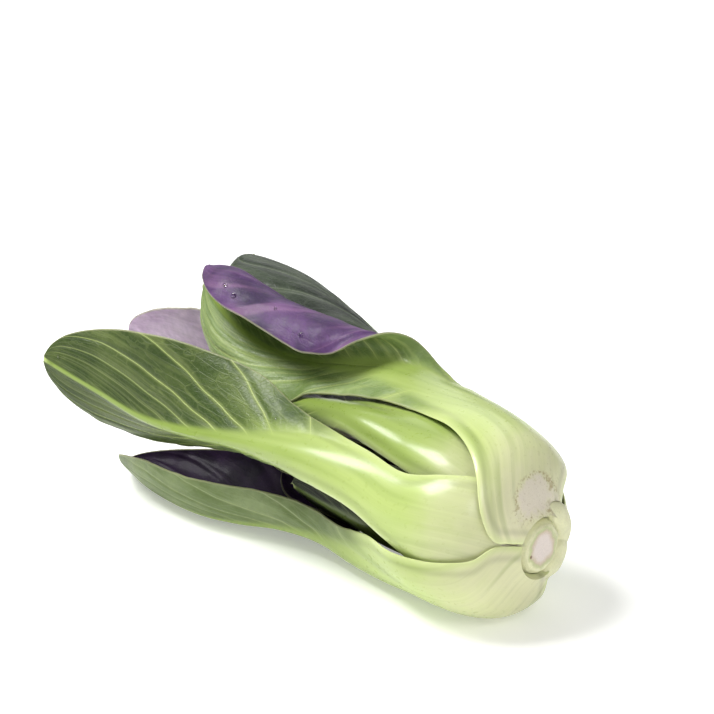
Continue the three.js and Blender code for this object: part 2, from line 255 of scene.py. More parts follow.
# ---- shader maths ----------------------------------------------------------------------------
class Value:
    """A node's output that can stand in a sum; each sign adds a Math node."""

    def __init__(self, tree: "Tree", socket: bpy.types.NodeSocket) -> None:
        """Wrap one output socket of a tree."""
        self.tree, self.socket = tree, socket

    def maths(self, operation: str, *values: "Value | float") -> "Value":
        """Add a Math node that works on these values in order."""
        return self.tree.node("ShaderNodeMath", {"operation": operation}, dict(enumerate(values)))

    def __add__(self, other: "Value | float") -> "Value":
        """Add."""
        return self.maths("ADD", self, other)

    __radd__ = __add__

    def __sub__(self, other: "Value | float") -> "Value":
        """Take the other from this."""
        return self.maths("SUBTRACT", self, other)

    def __rsub__(self, other: "Value | float") -> "Value":
        """Take this from the other."""
        return self.maths("SUBTRACT", other, self)

    def __mul__(self, other: "Value | float") -> "Value":
        """Multiply."""
        return self.maths("MULTIPLY", self, other)

    __rmul__ = __mul__

    def __pow__(self, other: "Value | float") -> "Value":
        """Raise this to the other."""
        return self.maths("POWER", self, other)

    def __abs__(self) -> "Value":
        """Drop the sign."""
        return self.maths("ABSOLUTE", self)

    def fraction(self) -> "Value":
        """Keep what follows the decimal point."""
        return self.maths("FRACT", self)

    def most(self, other: "Value | float") -> "Value":
        """Keep the larger of the two."""
        return self.maths("MAXIMUM", self, other)

    def ease(self, low: "Value | float", high: "Value | float") -> "Value":
        """Ease from 0 at `low` to 1 at `high`, which may be the smaller of the two.

        Args:
            low: the number at which the result is 0.
            high: the number at which it is 1.

        Returns:
            The eased share.
        """
        return self.tree.node(
            "ShaderNodeMapRange", {"interpolation_type": "SMOOTHSTEP"},
            {"Value": self, "From Min": low, "From Max": high})


class Tree:
    """A material's node tree and the one way in which nodes are added to it."""

    def __init__(self, name: str) -> None:
        """Start a material with an empty tree.

        Args:
            name: the material's name.
        """
        self.material = bpy.data.materials.new(name)
        self.material.use_nodes = True
        self.nodes = self.material.node_tree.nodes
        self.nodes.clear()

    def node(self, kind: str, settings: dict[str, object] | None = None,
             sockets: dict[str | int, object] | None = None, output: int | str = 0) -> Value:
        """Add a node.

        Args:
            kind: the node's type.
            settings: the node's own options, set before its sockets.
            sockets: for each input, by name or number, a number, a colour or a Value to link.
            output: which output is wanted.

        Returns:
            That output.
        """
        made = self.nodes.new(kind)
        for option, choice in (settings or {}).items():
            setattr(made, option, choice)
        for key, value in (sockets or {}).items():
            if isinstance(value, Value):
                self.material.node_tree.links.new(value.socket, made.inputs[key])
            else:
                made.inputs[key].default_value = value
        return Value(self, made.outputs[output])

    def mark(self, name: str) -> tuple[Value, Value, Value]:
        """Read the three numbers of a mark that the mesh's corners carry."""
        vector = self.node("ShaderNodeAttribute", {"attribute_name": name}, output="Vector")
        return self.split(vector)

    def place(self) -> tuple[Value, Value, Value]:
        """Read the place on the object.

        Returns:
            x, y and z in mm from the centre of the cut.
        """
        spot = self.node("ShaderNodeTexCoord", output="Object")
        spot = self.node("ShaderNodeVectorMath", {"operation": "SUBTRACT"},
                         {0: spot, 1: tuple(CUT_FACE * MM)})
        return self.split(self.node("ShaderNodeVectorMath", {"operation": "SCALE"},
                                    {0: spot, "Scale": 1 / MM}))

    def split(self, vector: Value) -> tuple[Value, Value, Value]:
        """Take a vector apart.

        Args:
            vector: the vector.

        Returns:
            Its three numbers.
        """
        first = self.node("ShaderNodeSeparateXYZ", sockets={0: vector})
        outputs = first.socket.node.outputs
        return first, Value(self, outputs[1]), Value(self, outputs[2])

    def vector(self, x: Value | float, y: Value | float, z: Value | float = 0.0) -> Value:
        """Put three numbers together."""
        return self.node("ShaderNodeCombineXYZ", sockets={0: x, 1: y, 2: z})

    def noise(self, vector: Value, detail: float) -> Value:
        """Read soft noise of grain 1 at a vector: about 0.5, seldom under 0.3 or over 0.7."""
        return self.node("ShaderNodeTexNoise", sockets={
            "Vector": vector, "Scale": 1.0, "Detail": detail, "Roughness": 0.5})

    def lumps(self, scale: float, detail: float) -> Value:
        """Read noise of `scale` grains per mm that is fixed to the place on the object."""
        return self.noise(self.vector(*(part * scale for part in self.place())), detail)

    def net(self, vector: Value) -> Value:
        """Read the distance to the nearest side of a net of cells about 1 across."""
        return self.node("ShaderNodeTexVoronoi", {"feature": "DISTANCE_TO_EDGE"},
                         {"Vector": vector, "Scale": 1.0, "Randomness": 0.9})

    def mix(self, share: Value | float, first: Value | Colour, second: Value | Colour) -> Value:
        """Go from the first colour to the second by a share of 0..1."""
        return self.node("ShaderNodeMix", {"data_type": "RGBA"},
                         {0: share, 6: first, 7: second}, output=2)

    def shade(self, colour: Value | Colour, amount: Value) -> Value:
        """Darken or lighten a colour by a factor."""
        first = colour if isinstance(colour, Value) else colour[:3]
        return self.node("ShaderNodeVectorMath", {"operation": "SCALE"},
                         {0: first, "Scale": amount})

    def bump(self, height: Value, depth: float) -> Value:
        """Raise the surface, at 0.7 of full strength, by a height of 0..1 times a depth in mm."""
        return self.node("ShaderNodeBump", sockets={
            "Strength": 0.7, "Distance": depth * MM, "Height": height})

    def surface(self, **sockets: object) -> None:
        """Close the tree with one Principled shader.

        Args:
            sockets: a number, a colour or a Value for each input, named with _ for a space.
        """
        named = {key.replace("_", " "): value for key, value in sockets.items()}
        shader = self.node("ShaderNodeBsdfPrincipled", sockets=named)
        end = self.nodes.new("ShaderNodeOutputMaterial")
        self.material.node_tree.links.new(shader.socket, end.inputs["Surface"])


# ---- finishes --------------------------------------------------------------------------------
class Grain(Enum):
    """The noises in a leaf's skin.

    Each is (grains per mm along the leaf, grains per mm across it, how far the patterns of its
    two faces lie apart, detail).
    """

    CLOUD = (0.05, 0.07, 9, 3)       # soft patches, about 2 cm long
    MOTTLE = (0.42, 0.5, 5, 3)       # small ones, about 2 mm
    FIBRE = (0.012, 0.5, 3, 3)       # long strands
    HAIR = (0.02, 1.9, 3, 2)         # finer strands between them
    BROAD = (0.014, 0.15, 3, 2)      # wide bands along the stalk


class Skin:
    """What a leaf's material reads at each place: the mesh's marks, and the noises on them.

    The mark `grain` holds the run from the base, the place across and the depth in from the
    margin, in mm; `zone` the side (1 outer, 0 inner) and the share of blade; `veins` the count
    of side veins passed, the place across in half widths and the distance from the scar in
    scar radii.
    """

    def __init__(self, tree: Tree) -> None:
        """Read the marks and lay the noises over them.

        Args:
            tree: the material's tree.
        """
        self.tree = tree
        self.run, self.across, self.margin = tree.mark("grain")
        self.outer, self.blade, _ = tree.mark("zone")
        self.phase, self.half, self.scar = tree.mark("veins")
        self.cloud, self.mottle, self.fibre, self.hair, self.broad = map(self.noise, Grain)

    def noise(self, grain: Grain) -> Value:
        """Read one of the noises of the skin.

        Args:
            grain: which one.

        Returns:
            The noise, about 0.5.
        """
        along_leaf, across_leaf, apart, detail = grain.value
        return self.tree.noise(self.tree.vector(
            self.run * along_leaf, self.across * across_leaf, self.outer * apart), detail)


@dataclass
class VeinPattern:
    """The veins of a blade: all of them as one share, and two kinds alone for the relief."""

    share: Value
    crooked: Value
    fine: Value


@dataclass(frozen=True)
class LeafFinish:
    """How a leaf looks: pale stalk, green outer blade, purple inner blade, light veins."""

    name: str
    root: Colour = srgb(212, 212, 172)
    stalk: Colour = srgb(180, 198, 118)
    neck: Colour = srgb(134, 156, 72)
    blade: Colour = srgb(94, 112, 56)
    blade_shade: Colour = srgb(70, 90, 40)
    vein: Colour = srgb(176, 190, 118)
    inner_stalk: Colour = srgb(176, 186, 132)
    inner: Colour = srgb(100, 68, 114)
    inner_shade: Colour = srgb(62, 38, 80)
    inner_vein: Colour = srgb(142, 104, 142)
    rim: Colour = srgb(164, 166, 128)
    # pale rim of the stalk's margin, brightened with painted light as where light shines through the
    # thin edge
    stalk_rim_and_glow: Colour = srgb(214, 226, 158)
    scar: Colour = srgb(224, 214, 200)
    scar_edge: Colour = srgb(150, 122, 76)
    net_share: float = 0.09       # how strongly the net between the side veins shows
    streak_share: float = 0.16    # how strongly the light streaks along them show
    tip_dark: float = 0.0         # how much darker the blade is towards its tip
    shine: float = 0.5            # how strongly the bare skin reflects
    cream_run: tuple[float, float] = (6, 50)            # where the root's cream turns green, mm
    greening_run: tuple[float, float] = (-62, 22)       # where the stalk turns greener, from the neck
    tip_run: tuple[float, float] = (-10, 60)            # where the blade darkens, from the neck
    vein_half: tuple[float, float] = (0.95, 0.4)        # half breadth of a side vein, midrib and margin
    relief: float = 0.35                                # depth of the skin's relief, mm

    def stalk_skin(self, at: Skin, neck_run: float) -> Value:
        """Colour the stalk: cream at the root, pale green, and greener where the blade starts.

        Args:
            at: what the skin reads.
            neck_run: the run from the base at which the blade starts, mm.

        Returns:
            The colour.
        """
        tree = at.tree
        start, end = (neck_run + run for run in self.greening_run)
        pale = tree.mix((at.run + (at.cloud - 0.5) * 30).ease(*self.cream_run), self.root, self.stalk)
        greening = (at.run + (at.broad - 0.5) * 90 + (at.fibre - 0.5) * 20).ease(start, end)
        pale = tree.mix(greening * 0.9, pale, self.neck)
        pale = tree.mix(at.broad.ease(0.5, 0.68) * 0.3, pale, self.neck)
        pale = tree.shade(pale, 0.84 + 0.16 * at.fibre + 0.1 * at.hair + 0.06 * at.cloud)
        return tree.mix(at.outer, tree.mix(0.5, pale, self.inner_stalk), pale)

    def vein_pattern(self, at: Skin) -> VeinPattern:
        """Draw the veins: a fan of side veins, the crooked veins between them and a fine net.

        The side veins run where the count of them passes each half, in a soft glow; the others
        are the sides of two nets of cells, bent by a noise.

        Args:
            at: what the skin reads.

        Returns:
            The veins.
        """
        tree = at.tree
        at_midrib, at_margin = self.vein_half
        gap = abs(at.phase.fraction() - 0.5) * (VEIN_ROOT + VEIN_SPREAD * at.half ** VEIN_CURVE)
        strong = FAINT_VEIN + (1 - FAINT_VEIN) * at.phase.ease(*VEIN_FADE)
        width = at_midrib - (at_midrib - at_margin) * at.half
        side_vein = gap.ease(width, width * 0.2) * strong
        glow = gap.ease(width * 5.0, 0.0) * 0.34 * strong
        bent = tree.noise(tree.vector(at.run * 0.16, at.across * 0.16, 4.0), 2)
        flow = tree.vector(at.phase * 2.6 + bent * 0.9, at.across * 0.19 + bent * 0.9)
        crooked = tree.net(flow).ease(0.055, 0.01)
        fine = tree.net(tree.vector(at.run * 0.5 + bent, at.across * 0.56 + bent)).ease(0.1, 0.0)
        lines = (side_vein * 0.95).most(crooked * self.net_share).most(fine * self.net_share * 0.25)
        return VeinPattern(lines.most(glow), crooked, fine)

    def blade_skin(self, at: Skin, neck_run: float, veins: VeinPattern) -> Value:
        """Colour the blade: green outside, purple inside, with its veins and its pale rim.

        Args:
            at: what the skin reads.
            neck_run: the run from the base at which the blade starts, mm.
            veins: the veins.

        Returns:
            The colour.
        """
        tree = at.tree
        start, end = (neck_run + run for run in self.tip_run)
        streak = tree.noise(tree.vector(at.phase * 3.1, at.half * 1.4, 7.0), 3).ease(0.46, 0.72)
        green = tree.mix(at.cloud.ease(0.35, 0.66), self.blade_shade, self.blade)
        green = tree.shade(green, 0.84 + 0.32 * at.mottle - self.tip_dark * at.run.ease(start, end))
        green = tree.mix(streak * self.streak_share, green, self.vein)
        green = tree.mix(veins.share, green, self.vein)
        purple = tree.mix(at.cloud.ease(0.34, 0.66), self.inner_shade, self.inner)
        purple = tree.shade(purple, 0.5 + 0.6 * at.mottle + 0.4 * at.fibre)
        purple = tree.mix(veins.share * 0.3, purple, self.inner_vein)
        purple = tree.mix(streak * self.streak_share, purple, self.inner_vein)
        lamina = tree.mix(at.outer, purple, green)
        return tree.mix(at.margin.ease(0.85, 0.25) * 0.6, lamina, self.rim)

    def material(self, neck_run: float) -> bpy.types.Material:
        """Build the leaf's material.

        The stalk's margin has a band of painted shade a few mm in, as in a shaded furrow, and a
        pale rim brightened with painted light, as where light shines through the thin margin.  A scar
        left by a leaf that was pulled off is dry and speckled, with a soft brown edge.

        Args:
            neck_run: the run from the base at which the blade starts, mm.

        Returns:
            The material.
        """
        tree = Tree(self.name)
        at = Skin(tree)
        bare = 1 - at.blade
        veins = self.vein_pattern(at)
        skin = tree.mix(at.blade, self.stalk_skin(at, neck_run), self.blade_skin(at, neck_run, veins))
        # painted shade: a darker band a few mm in from the stalk's margin, as in a shaded furrow; then a
        # pale rim with painted light at the margin itself
        groove_shade = at.margin.ease(6.5, 4.2) * at.margin.ease(2.2, 4.2) * bare
        skin = tree.shade(skin, 1.0 - 0.16 * groove_shade)
        skin = tree.mix(at.margin.ease(3.2, 0.3) * bare * 0.6, skin, self.stalk_rim_and_glow)

        blot, grit = tree.lumps(0.22, 3), tree.lumps(1.2, 3)
        ragged = at.scar + (blot - 0.5) * 1.5 + (grit - 0.5) * 0.4
        wound = ragged.ease(1.1, 0.6)
        brown = abs(ragged - 1.05).ease(0.3, 0.0) * (blot + grit).ease(0.9, 1.15)
        speck = grit.ease(0.6, 0.72) * wound
        skin = tree.mix(wound * 0.8, skin, self.scar)
        skin = tree.mix(brown * 0.6 + speck * 0.3, skin, self.scar_edge)

        height = at.fibre * 0.2 * bare + wound * grit * 0.9 + at.blade * (
            veins.crooked * (0.4 * at.outer - 0.15) + veins.fine * (0.3 * at.outer - 0.12)
            + at.mottle * 0.4)
        dull = (0.22 - 0.1 * at.outer) * at.blade + 0.2 * wound
        tree.surface(
            Base_Color=skin, Roughness=0.3 + dull + 0.2 * (at.mottle - 0.5),
            Normal=tree.bump(height, self.relief),
            Subsurface_Weight=0.12, Subsurface_Radius=(1.0, 1.15, 0.45), Subsurface_Scale=1.5 * MM,
            Coat_Weight=0.04 + 0.18 * bare, Coat_Roughness=0.16,
            IOR=1.36, Specular_IOR_Level=self.shine)
        return tree.material


@dataclass(frozen=True)
class StemFinish:
    """How the cut stem looks: a pinkish core in a green ring, in the cream of cut leaf bases."""

    name: str = "cut_stem"
    core: Colour = srgb(226, 214, 206)
    core_edge: Colour = srgb(206, 190, 166)
    ring: Colour = srgb(190, 196, 142)
    flesh: Colour = srgb(222, 222, 182)
    speck: Colour = srgb(112, 78, 44)
    core_radius: float = 6.1
    speck_place: tuple[float, float] = (-6.2, -1.4)     # y and z from the centre of the cut, mm
    speck_radius: float = 0.9
    edge_width: float = 2.4                             # breadth of the core's darker edge, mm
    ring_half: float = 1.2                              # half breadth of the ring, mm
    ring_out: float = 0.5                               # how far it lies outside the core, mm
    cut_depth: tuple[float, float] = (-1.2, -0.3)       # x over which the skin turns to cut face, mm
    relief: float = 0.4                                 # depth of the relief, mm

    def material(self) -> bpy.types.Material:
        """Build the stem's material, in rings round the centre of the cut.

        Returns:
            The material.
        """
        tree = Tree(self.name)
        x, y, z = tree.place()
        blot, grit = tree.lumps(0.3, 3), tree.lumps(1.6, 4)
        radius = (y * y + z * z) ** 0.5 + (blot - 0.5) * 3.0
        cream = tree.shade(self.flesh, 0.88 + 0.24 * blot)
        edge = radius.ease(self.core_radius - self.edge_width, self.core_radius)
        face = tree.mix(edge, self.core, self.core_edge)
        ring = abs(radius - (self.core_radius + self.ring_out)).ease(self.ring_half, 0.1)
        cut = tree.mix(radius.ease(self.core_radius, self.core_radius + 0.8), face, cream)
        cut = tree.mix(ring * 0.8, cut, self.ring)
        off = tree.vector(y - self.speck_place[0], z - self.speck_place[1])
        length = tree.node("ShaderNodeVectorMath", {"operation": "LENGTH"}, {0: off}, "Value")
        cut = tree.mix(length.ease(self.speck_radius, 0.3) * 0.85, cut, self.speck)
        cut = tree.shade(cut, 0.88 + 0.24 * grit)
        skin = tree.mix(x.ease(*self.cut_depth), cream, cut)
        tree.surface(
            Base_Color=skin, Roughness=0.46 + 0.2 * (grit - 0.5),
            Normal=tree.bump(grit, self.relief),
            Subsurface_Weight=0.15, Subsurface_Radius=(1.0, 0.9, 0.6), Subsurface_Scale=1.5 * MM,
            Coat_Weight=0.1, Coat_Roughness=0.25, IOR=1.42)
        return tree.material


@dataclass(frozen=True)
class WaterFinish:
    """Clear water, for the drops on the leaves."""

    name: str = "water"

    def material(self) -> bpy.types.Material:
        """Build clear water with a smooth face.

        Returns:
            The material.
        """
        tree = Tree(self.name)
        tree.surface(Base_Color=(1.0, 1.0, 1.0, 1.0), Roughness=0.02, IOR=1.33,
                     Transmission_Weight=1.0)
        return tree.material


@dataclass(frozen=True)
class FloorFinish:
    """A plain pale floor."""

    name: str = "pale_floor"
    colour: Colour = srgb(247, 247, 246)
    glow: float = 0.33           # a little light of its own, so that shadows stay soft

    def material(self) -> bpy.types.Material:
        """Build the matt floor.

        Returns:
            The material.
        """
        tree = Tree(self.name)
        tree.surface(Base_Color=self.colour, Roughness=0.85, Specular_IOR_Level=0.1,
                     Emission_Color=self.colour, Emission_Strength=self.glow)
        return tree.material


# ---- leaves ----------------------------------------------------------------------------------
@dataclass(frozen=True)
class Station:
    """One cross-section of a leaf, in mm and degrees.

    `x` is along the head's axis from the cut, `out` the distance of the outer face from the
    axis, `az` the side it is on (0 is the front, 90 the top) and `lean` how far its face turns
    from straight outwards.  Each half, `near` towards smaller az and `far` towards larger, is
    (width, fold, cup, hairpin): it leaves the midrib folded inwards by `fold` and turns by
    `cup` more before the margin, evenly, or with `hairpin` 1 mostly halfway across.  The stalk
    is `thick` at its middle and thins to the blade over `rib` to either side.
    """

    x: float
    out: float
    az: float
    lean: float
    near: tuple[float, ...]
    far: tuple[float, ...]
    rib: float
    thick: float

    def half(self, side: str, part: int) -> float:
        """Give one number of a half section, 0 where the half doesn't state it."""
        half = getattr(self, side)
        return half[part] if part < len(half) else 0.0


class Order(Enum):
    """The leaves, in the order in which each wraps those after it."""

    TOP = "leaf_top"
    BOTTOM = "leaf_bottom"
    FRONT = "leaf_front"
    BACK = "leaf_back"
    INNER_TOP = "inner_leaf_top"
    INNER_BACK = "inner_leaf_back"
    INNER_FRONT = "inner_leaf_front"
    INNER_BOTTOM = "inner_leaf_bottom"
    HEART_1 = "heart_leaf_1"
    HEART_2 = "heart_leaf_2"
    HEART_3 = "heart_leaf_3"


@dataclass
class Leaf:
    """One leaf: a fleshy stalk that wraps the bulb and runs out as the midrib of a thin blade."""

    name: str
    stations: tuple[Station, ...]
    finish: LeafFinish
    slot: str = "outer_leaf"
    tip: float = 0.88            # where along the leaf the tip starts to round
    ruffle: float = 0.9          # height of the long waves of the margin, mm
    waves: float = 3.0           # how many of them
    neck: float = 95.0           # run from the base at which the blade starts at the midrib, mm
    wing: float = 28.0           # how much sooner it starts at the margins, mm
    fan: float = 1.0             # how far apart the side veins are, against a large leaf's
    ridge: float = 0.3           # height of a side vein, mm
    quilt: float = 0.45          # swell of the blade between side veins, mm
    crimp: float = 0.15          # height of the short waves of the margin, mm
    scar: tuple[float, ...] = ()     # place along and across, half length and half width, mm
    rows: int = 230
    columns: int = 130

    def track(self, pick: Callable[[Station], float], u: Array) -> Array:
        """Carry one number of the stations along the leaf."""
        return along([pick(s) for s in self.stations], u)

    def half_track(self, part: int, u: Array, v: Array) -> Array:
        """Carry one number of the half sections along, near for v < 0 and far for the rest.

        Args:
            part: which number of a half section.
            u: from base to tip.
            v: from margin to margin.

        Returns:
            The number at each place.
        """
        near = self.track(lambda s: s.half("near", part), u)
        far = self.track(lambda s: s.half("far", part), u)
        return np.where(v < 0, near, far)

    def width(self, u: Array, v: Array) -> Array:
        """Give the half width, which shrinks like a circle's past the start of the tip."""
        tip = TIP_CLOSE * np.maximum(0.0, (u - self.tip) / (1.0 - self.tip))
        return self.half_track(0, u, v) * np.sqrt(1.0 - tip**2)

    def sheet(self, u: Array, v: Array, widen: float = 0.0) -> Array:
        """Work out points of the leaf's outer face.

        The section lies across the axis.  Its direction turns from `fold` at the midrib by
        `cup` up to the margin, and a point is the sum of the small steps taken in that
        direction, plus the wave of the margin, which grows with the square of v.

        Args:
            u: from 0 at the base to 1 at the tip.
            v: from -1 at the near margin over 0 at the midrib to 1 at the far margin.
            widen: how far the section is carried on past its margins, in mm.

        Returns:
            Points in mm from the centre of the cut.
        """
        u, v = np.broadcast_arrays(u, v)
        az = np.radians(self.track(lambda s: s.az, u))
        face = az + np.radians(self.track(lambda s: s.lean, u))
        out = self.track(lambda s: s.out, u)
        fold = np.radians(self.half_track(1, u, v))[..., None]
        cup = np.radians(self.half_track(2, u, v))[..., None]
        hairpin = self.half_track(3, u, v)[..., None]
        wide = self.width(u, v)
        reach = np.abs(v) * (1 + widen / wide)
        middle = reach[..., None] * (np.arange(FINE_STEPS) + 0.5) / FINE_STEPS
        turned = fold + cup * (middle + hairpin * (smooth(0.0, 1.0, middle) - middle))
        step = wide * reach / FINE_STEPS
        lag = np.where(v < 0, 0.0, FAR_SHIFT)
        wave = self.ruffle * smooth(*WAVY, u) * reach**2 * np.sin(
            2 * np.pi * self.waves * u + lag)
        c = np.sign(v) * np.cos(turned).sum(-1) * step
        d = wave - np.sin(turned).sum(-1) * step
        return np.stack((
            self.track(lambda s: s.x, u),
            -out * np.cos(az) - d * np.cos(face) + c * np.sin(face),
            out * np.sin(az) + d * np.sin(face) + c * np.cos(face)), axis=-1)

    def outward(self, u: Array, v: Array, widen: float = 0.0) -> tuple[Array, Array]:
        """Find how the sheet faces, by small differences in u and v.

        Args:
            u: from base to tip.
            v: from margin to margin.
            widen: how far the section is carried on past its margins, in mm.

        Returns:
            The direction out of the outer face, and the direction along the leaf.
        """
        e = SLOPE_STEP
        run = (self.sheet(np.minimum(1, u + e), v, widen)
               - self.sheet(np.maximum(0, u - e), v, widen))
        side = (self.sheet(u, np.minimum(1, v + e), widen)
                - self.sheet(u, np.maximum(-1, v - e), widen))
        return unit(np.cross(side, run)), unit(run)

    def shell(self) -> Shell:
        """Build the closed leaf in its full detail.

        The outer face is the sheet moved out by the proud part of the midrib, by the ridges of
        the side veins and by the swell between them; the inner face lies under it by the
        flesh's thickness, (thick - blade)(1 - q^2)^1.5 at q midrib widths from the middle.
        Both meet in a margin whose thickness falls like a circle's, over a short depth on the
        blade and a longer one on the stalk.

        Returns:
            The shell with its marks.
        """
        u = 1 - (1 - np.linspace(0, 1, self.rows + 1)[:, None]) ** ROW_CROWDING
        w = np.linspace(-1, 1, self.columns + 1)[None, :]
        v = np.sign(w) * (1 - (1 - np.abs(w)) ** COLUMN_CROWDING)
        middle = self.sheet(u, v)
        normal, _ = self.outward(u, v)
        spine = self.sheet(u, np.zeros((1, 1)))[:, 0]
        run = np.concatenate(([0.0], np.cumsum(np.linalg.norm(np.diff(spine, axis=0), axis=1))))
        run = np.broadcast_to(run[:, None], middle.shape[:2])
        across = self.width(u, v) * v
        margin = np.minimum(self.width(u, v) * (1 - np.abs(v)), run[-1, 0] - run)
        blade = self.blade_share(run, across, u, v)
        edge = BLADE_EDGE + (STALK_EDGE - BLADE_EDGE) * (1 - blade)
        rounding = np.sqrt(1 - (1 - np.clip(margin / edge, 0, 1)) ** 2)
        q = np.clip(np.abs(across) / self.track(lambda s: s.rib, u), 0, 1)
        thick = self.track(lambda s: s.thick, u)
        flesh = (thick - BLADE) * (1 - q**2) ** FLESH_FALL * rounding
        proud = MIDRIB_PROUD * smooth(*RIBBED, u) * flesh

        phase, spread = self.vein_count(run, v)
        gap = np.abs(phase % 1.0 - 0.5) * spread
        strong = FAINT_VEIN + (1 - FAINT_VEIN) * smooth(*VEIN_FADE, phase)
        vein = smooth(*VEIN_RIDGE, gap) * blade * strong
        fade = blade * smooth(0.0, SWELL_MARGIN, margin)
        swell = self.quilt * fade * strong * smooth(0.0, SWELL_FOOT, gap)
        crimp = self.crimp * blade * np.abs(v) ** 3 * self.short_waves(run, v)
        middle = middle + normal * (crimp + swell)[..., None]
        ridge = self.ridge * vein * rounding * (1 - RIDGE_FALL * np.abs(v))
        hollow = 0.5 * BLADE * (1 - rounding)
        top = middle + normal * (proud + ridge - hollow)[..., None]
        under = proud - flesh - BLADE + RIDGE_UNDER * ridge + hollow
        bottom = middle + normal * under[..., None]
        marks = {
            "grain": np.stack((run, across, margin), -1),
            "zone": np.stack((np.ones_like(run), blade, np.zeros_like(run)), -1),
            "veins": np.stack((phase, np.abs(np.broadcast_to(v, run.shape)),
                               self.scar_distance(run, across)), -1),
        }
        return self.close(top, bottom, marks)

    def blade_share(self, run: Array, across: Array, u: Array, v: Array) -> Array:
        """Tell blade from stalk and midrib.

        The blade starts at the neck, and sooner towards the margins, and from there on it lies
        outside the midrib, which thins towards the tip.

        Args:
            run: the run from the base, mm.
            across: the place across, mm.
            u: from base to tip.
            v: from margin to margin.

        Returns:
            The share of blade.
        """
        start = self.neck - self.wing * smooth(*WING, np.abs(v))
        before, after = BLADE_START
        thin = 1 - MIDRIB_THINNING * smooth(self.neck, MIDRIB_END * run[-1, 0], run)
        band = np.abs(across) / (self.track(lambda s: s.rib, u) * thin)
        return smooth(start + before, start + after, run) * smooth(*MIDRIB_EDGE, band)

    def vein_count(self, run: Array, v: Array) -> tuple[Array, Array]:
        """Count the side veins passed, on a fan that opens from the midrib.

        Two neighbours lie `spread` apart along the leaf, which is VEIN_ROOT at the midrib and
        grows by VEIN_SPREAD times |v| to the power VEIN_CURVE, so each runs forward on its way.
        Two slow sines of the run make them wander.

        Args:
            run: the run from the base, mm.
            v: from margin to margin.

        Returns:
            The count, with a vein at each half, and the spread in mm.
        """
        spread = self.fan * (VEIN_ROOT + VEIN_SPREAD * np.abs(v) ** VEIN_CURVE)
        wander = 1.1 * np.sin(run * 0.11 + 1.3) + 0.5 * np.sin(run * 0.31 + 4 * v)
        lead = np.where(v < 0, 0.0, VEIN_LEAD * VEIN_ROOT)
        return (run - self.neck + self.wing + wander + lead) / spread, spread

    def short_waves(self, run: Array, v: Array) -> Array:
        """Add up the sines of SHORT_WAVES, of lengths near 1 cm, along the margin.

        The two margins are out of step, and the length of a leaf's name sets it apart from the
        others.

        Args:
            run: the run from the base, mm.
            v: from margin to margin.

        Returns:
            The wave, from about -2 to 2.
        """
        lag = np.where(v < 0, 0.4, 2.9) + len(self.name)
        return sum(share * np.sin(run * rate + (number + 1) * lag)
                   for number, (share, rate) in enumerate(SHORT_WAVES))

    def scar_distance(self, run: Array, across: Array) -> Array:
        """Measure how far a place is from the scar's middle, 1 on the scar's oval outline.

        Args:
            run: the run from the base, mm.
            across: the place across, mm.

        Returns:
            The distance in scar radii, NO_SCAR at most.
        """
        if not self.scar:
            return np.full_like(run, NO_SCAR)
        middle, beside, long, wide = self.scar
        return np.minimum(np.hypot((run - middle) / long, (across - beside) / wide), NO_SCAR)

    @staticmethod
    def close(top: Array, bottom: Array, marks: dict[str, Array]) -> Shell:
        """Close two faces into one shell.

        The faces share the points of both margins and of the tip, and a strip joins them at
        the base.  What would lie under the floor is flattened on it.

        Args:
            top: grid of points of the outer face.
            bottom: grid of points of the inner face.
            marks: what the outer points carry; the inner points carry the same, with side 0.

        Returns:
            The shell.
        """
        rows, columns = top.shape[0] - 1, top.shape[1] - 1
        outer = np.arange(top.shape[0] * top.shape[1]).reshape(top.shape[:2])
        inner = outer + outer.size
        inner[:, 0], inner[:, -1], inner[-1] = outer[:, 0], outer[:, -1], outer[-1]
        points = np.concatenate((top.reshape(-1, 3), bottom.reshape(-1, 3)))
        used = np.concatenate((outer.ravel(), inner.ravel()))
        kept = np.bincount(used, minlength=len(points)) > 0
        renumber = np.cumsum(kept) - 1

        base = np.stack((outer[0, 1:], outer[0, :-1], inner[0, :-1], inner[0, 1:]), -1)
        triangles = np.array([[outer[0, 1], outer[0, 0], inner[0, 1]],
                              [outer[0, -1], outer[0, -2], inner[0, -2]]])
        quads = np.concatenate((cells(outer), cells(inner)[:, ::-1], base[1:-1]))
        carried = {}
        for name, values in marks.items():
            under = values.copy()
            if name == "zone":
                under[..., 0] = 0.0
            carried[name] = np.concatenate((values.reshape(-1, 3), under.reshape(-1, 3)))[kept]
        places = points[kept]
        places[:, 2] = np.maximum(places[:, 2], -CUT_FACE[2])
        return Shell(places, renumber[quads], renumber[triangles], carried)

    def room(self, grow: float = TOUCH_GAP, rows: int = 60, columns: int = 36) -> Shell:
        """Build the plain closed leaf, a little swollen, that later leaves give way to.

        Args:
            grow: how far it is swollen, mm.
            rows: cells from base to tip.
            columns: cells from margin to margin.

        Returns:
            The shell.
        """
        widen = grow + EDGE_CLEAR
        u = 1 - (1 - np.linspace(0, 1, rows + 1)[:, None]) ** ROOM_CROWDING
        v = np.linspace(-1, 1, columns + 1)[None, :]
        middle = self.sheet(u, v, widen)
        normal, ahead = self.outward(u, v, widen)
        middle[0] -= ahead[0] * widen
        middle[-1] += ahead[-1] * widen
        q = np.clip((self.width(u, v) + widen) * np.abs(v) / self.track(lambda s: s.rib, u), 0, 1)
        flesh = (self.track(lambda s: s.thick, u) - BLADE) * (1 - q**2) ** FLESH_FALL
        proud = MIDRIB_PROUD * smooth(*RIBBED, u) * flesh
        top = middle + normal * (proud + grow)[..., None]
        bottom = middle + normal * (proud - flesh - BLADE - grow)[..., None]
        return self.wrap(top, bottom)

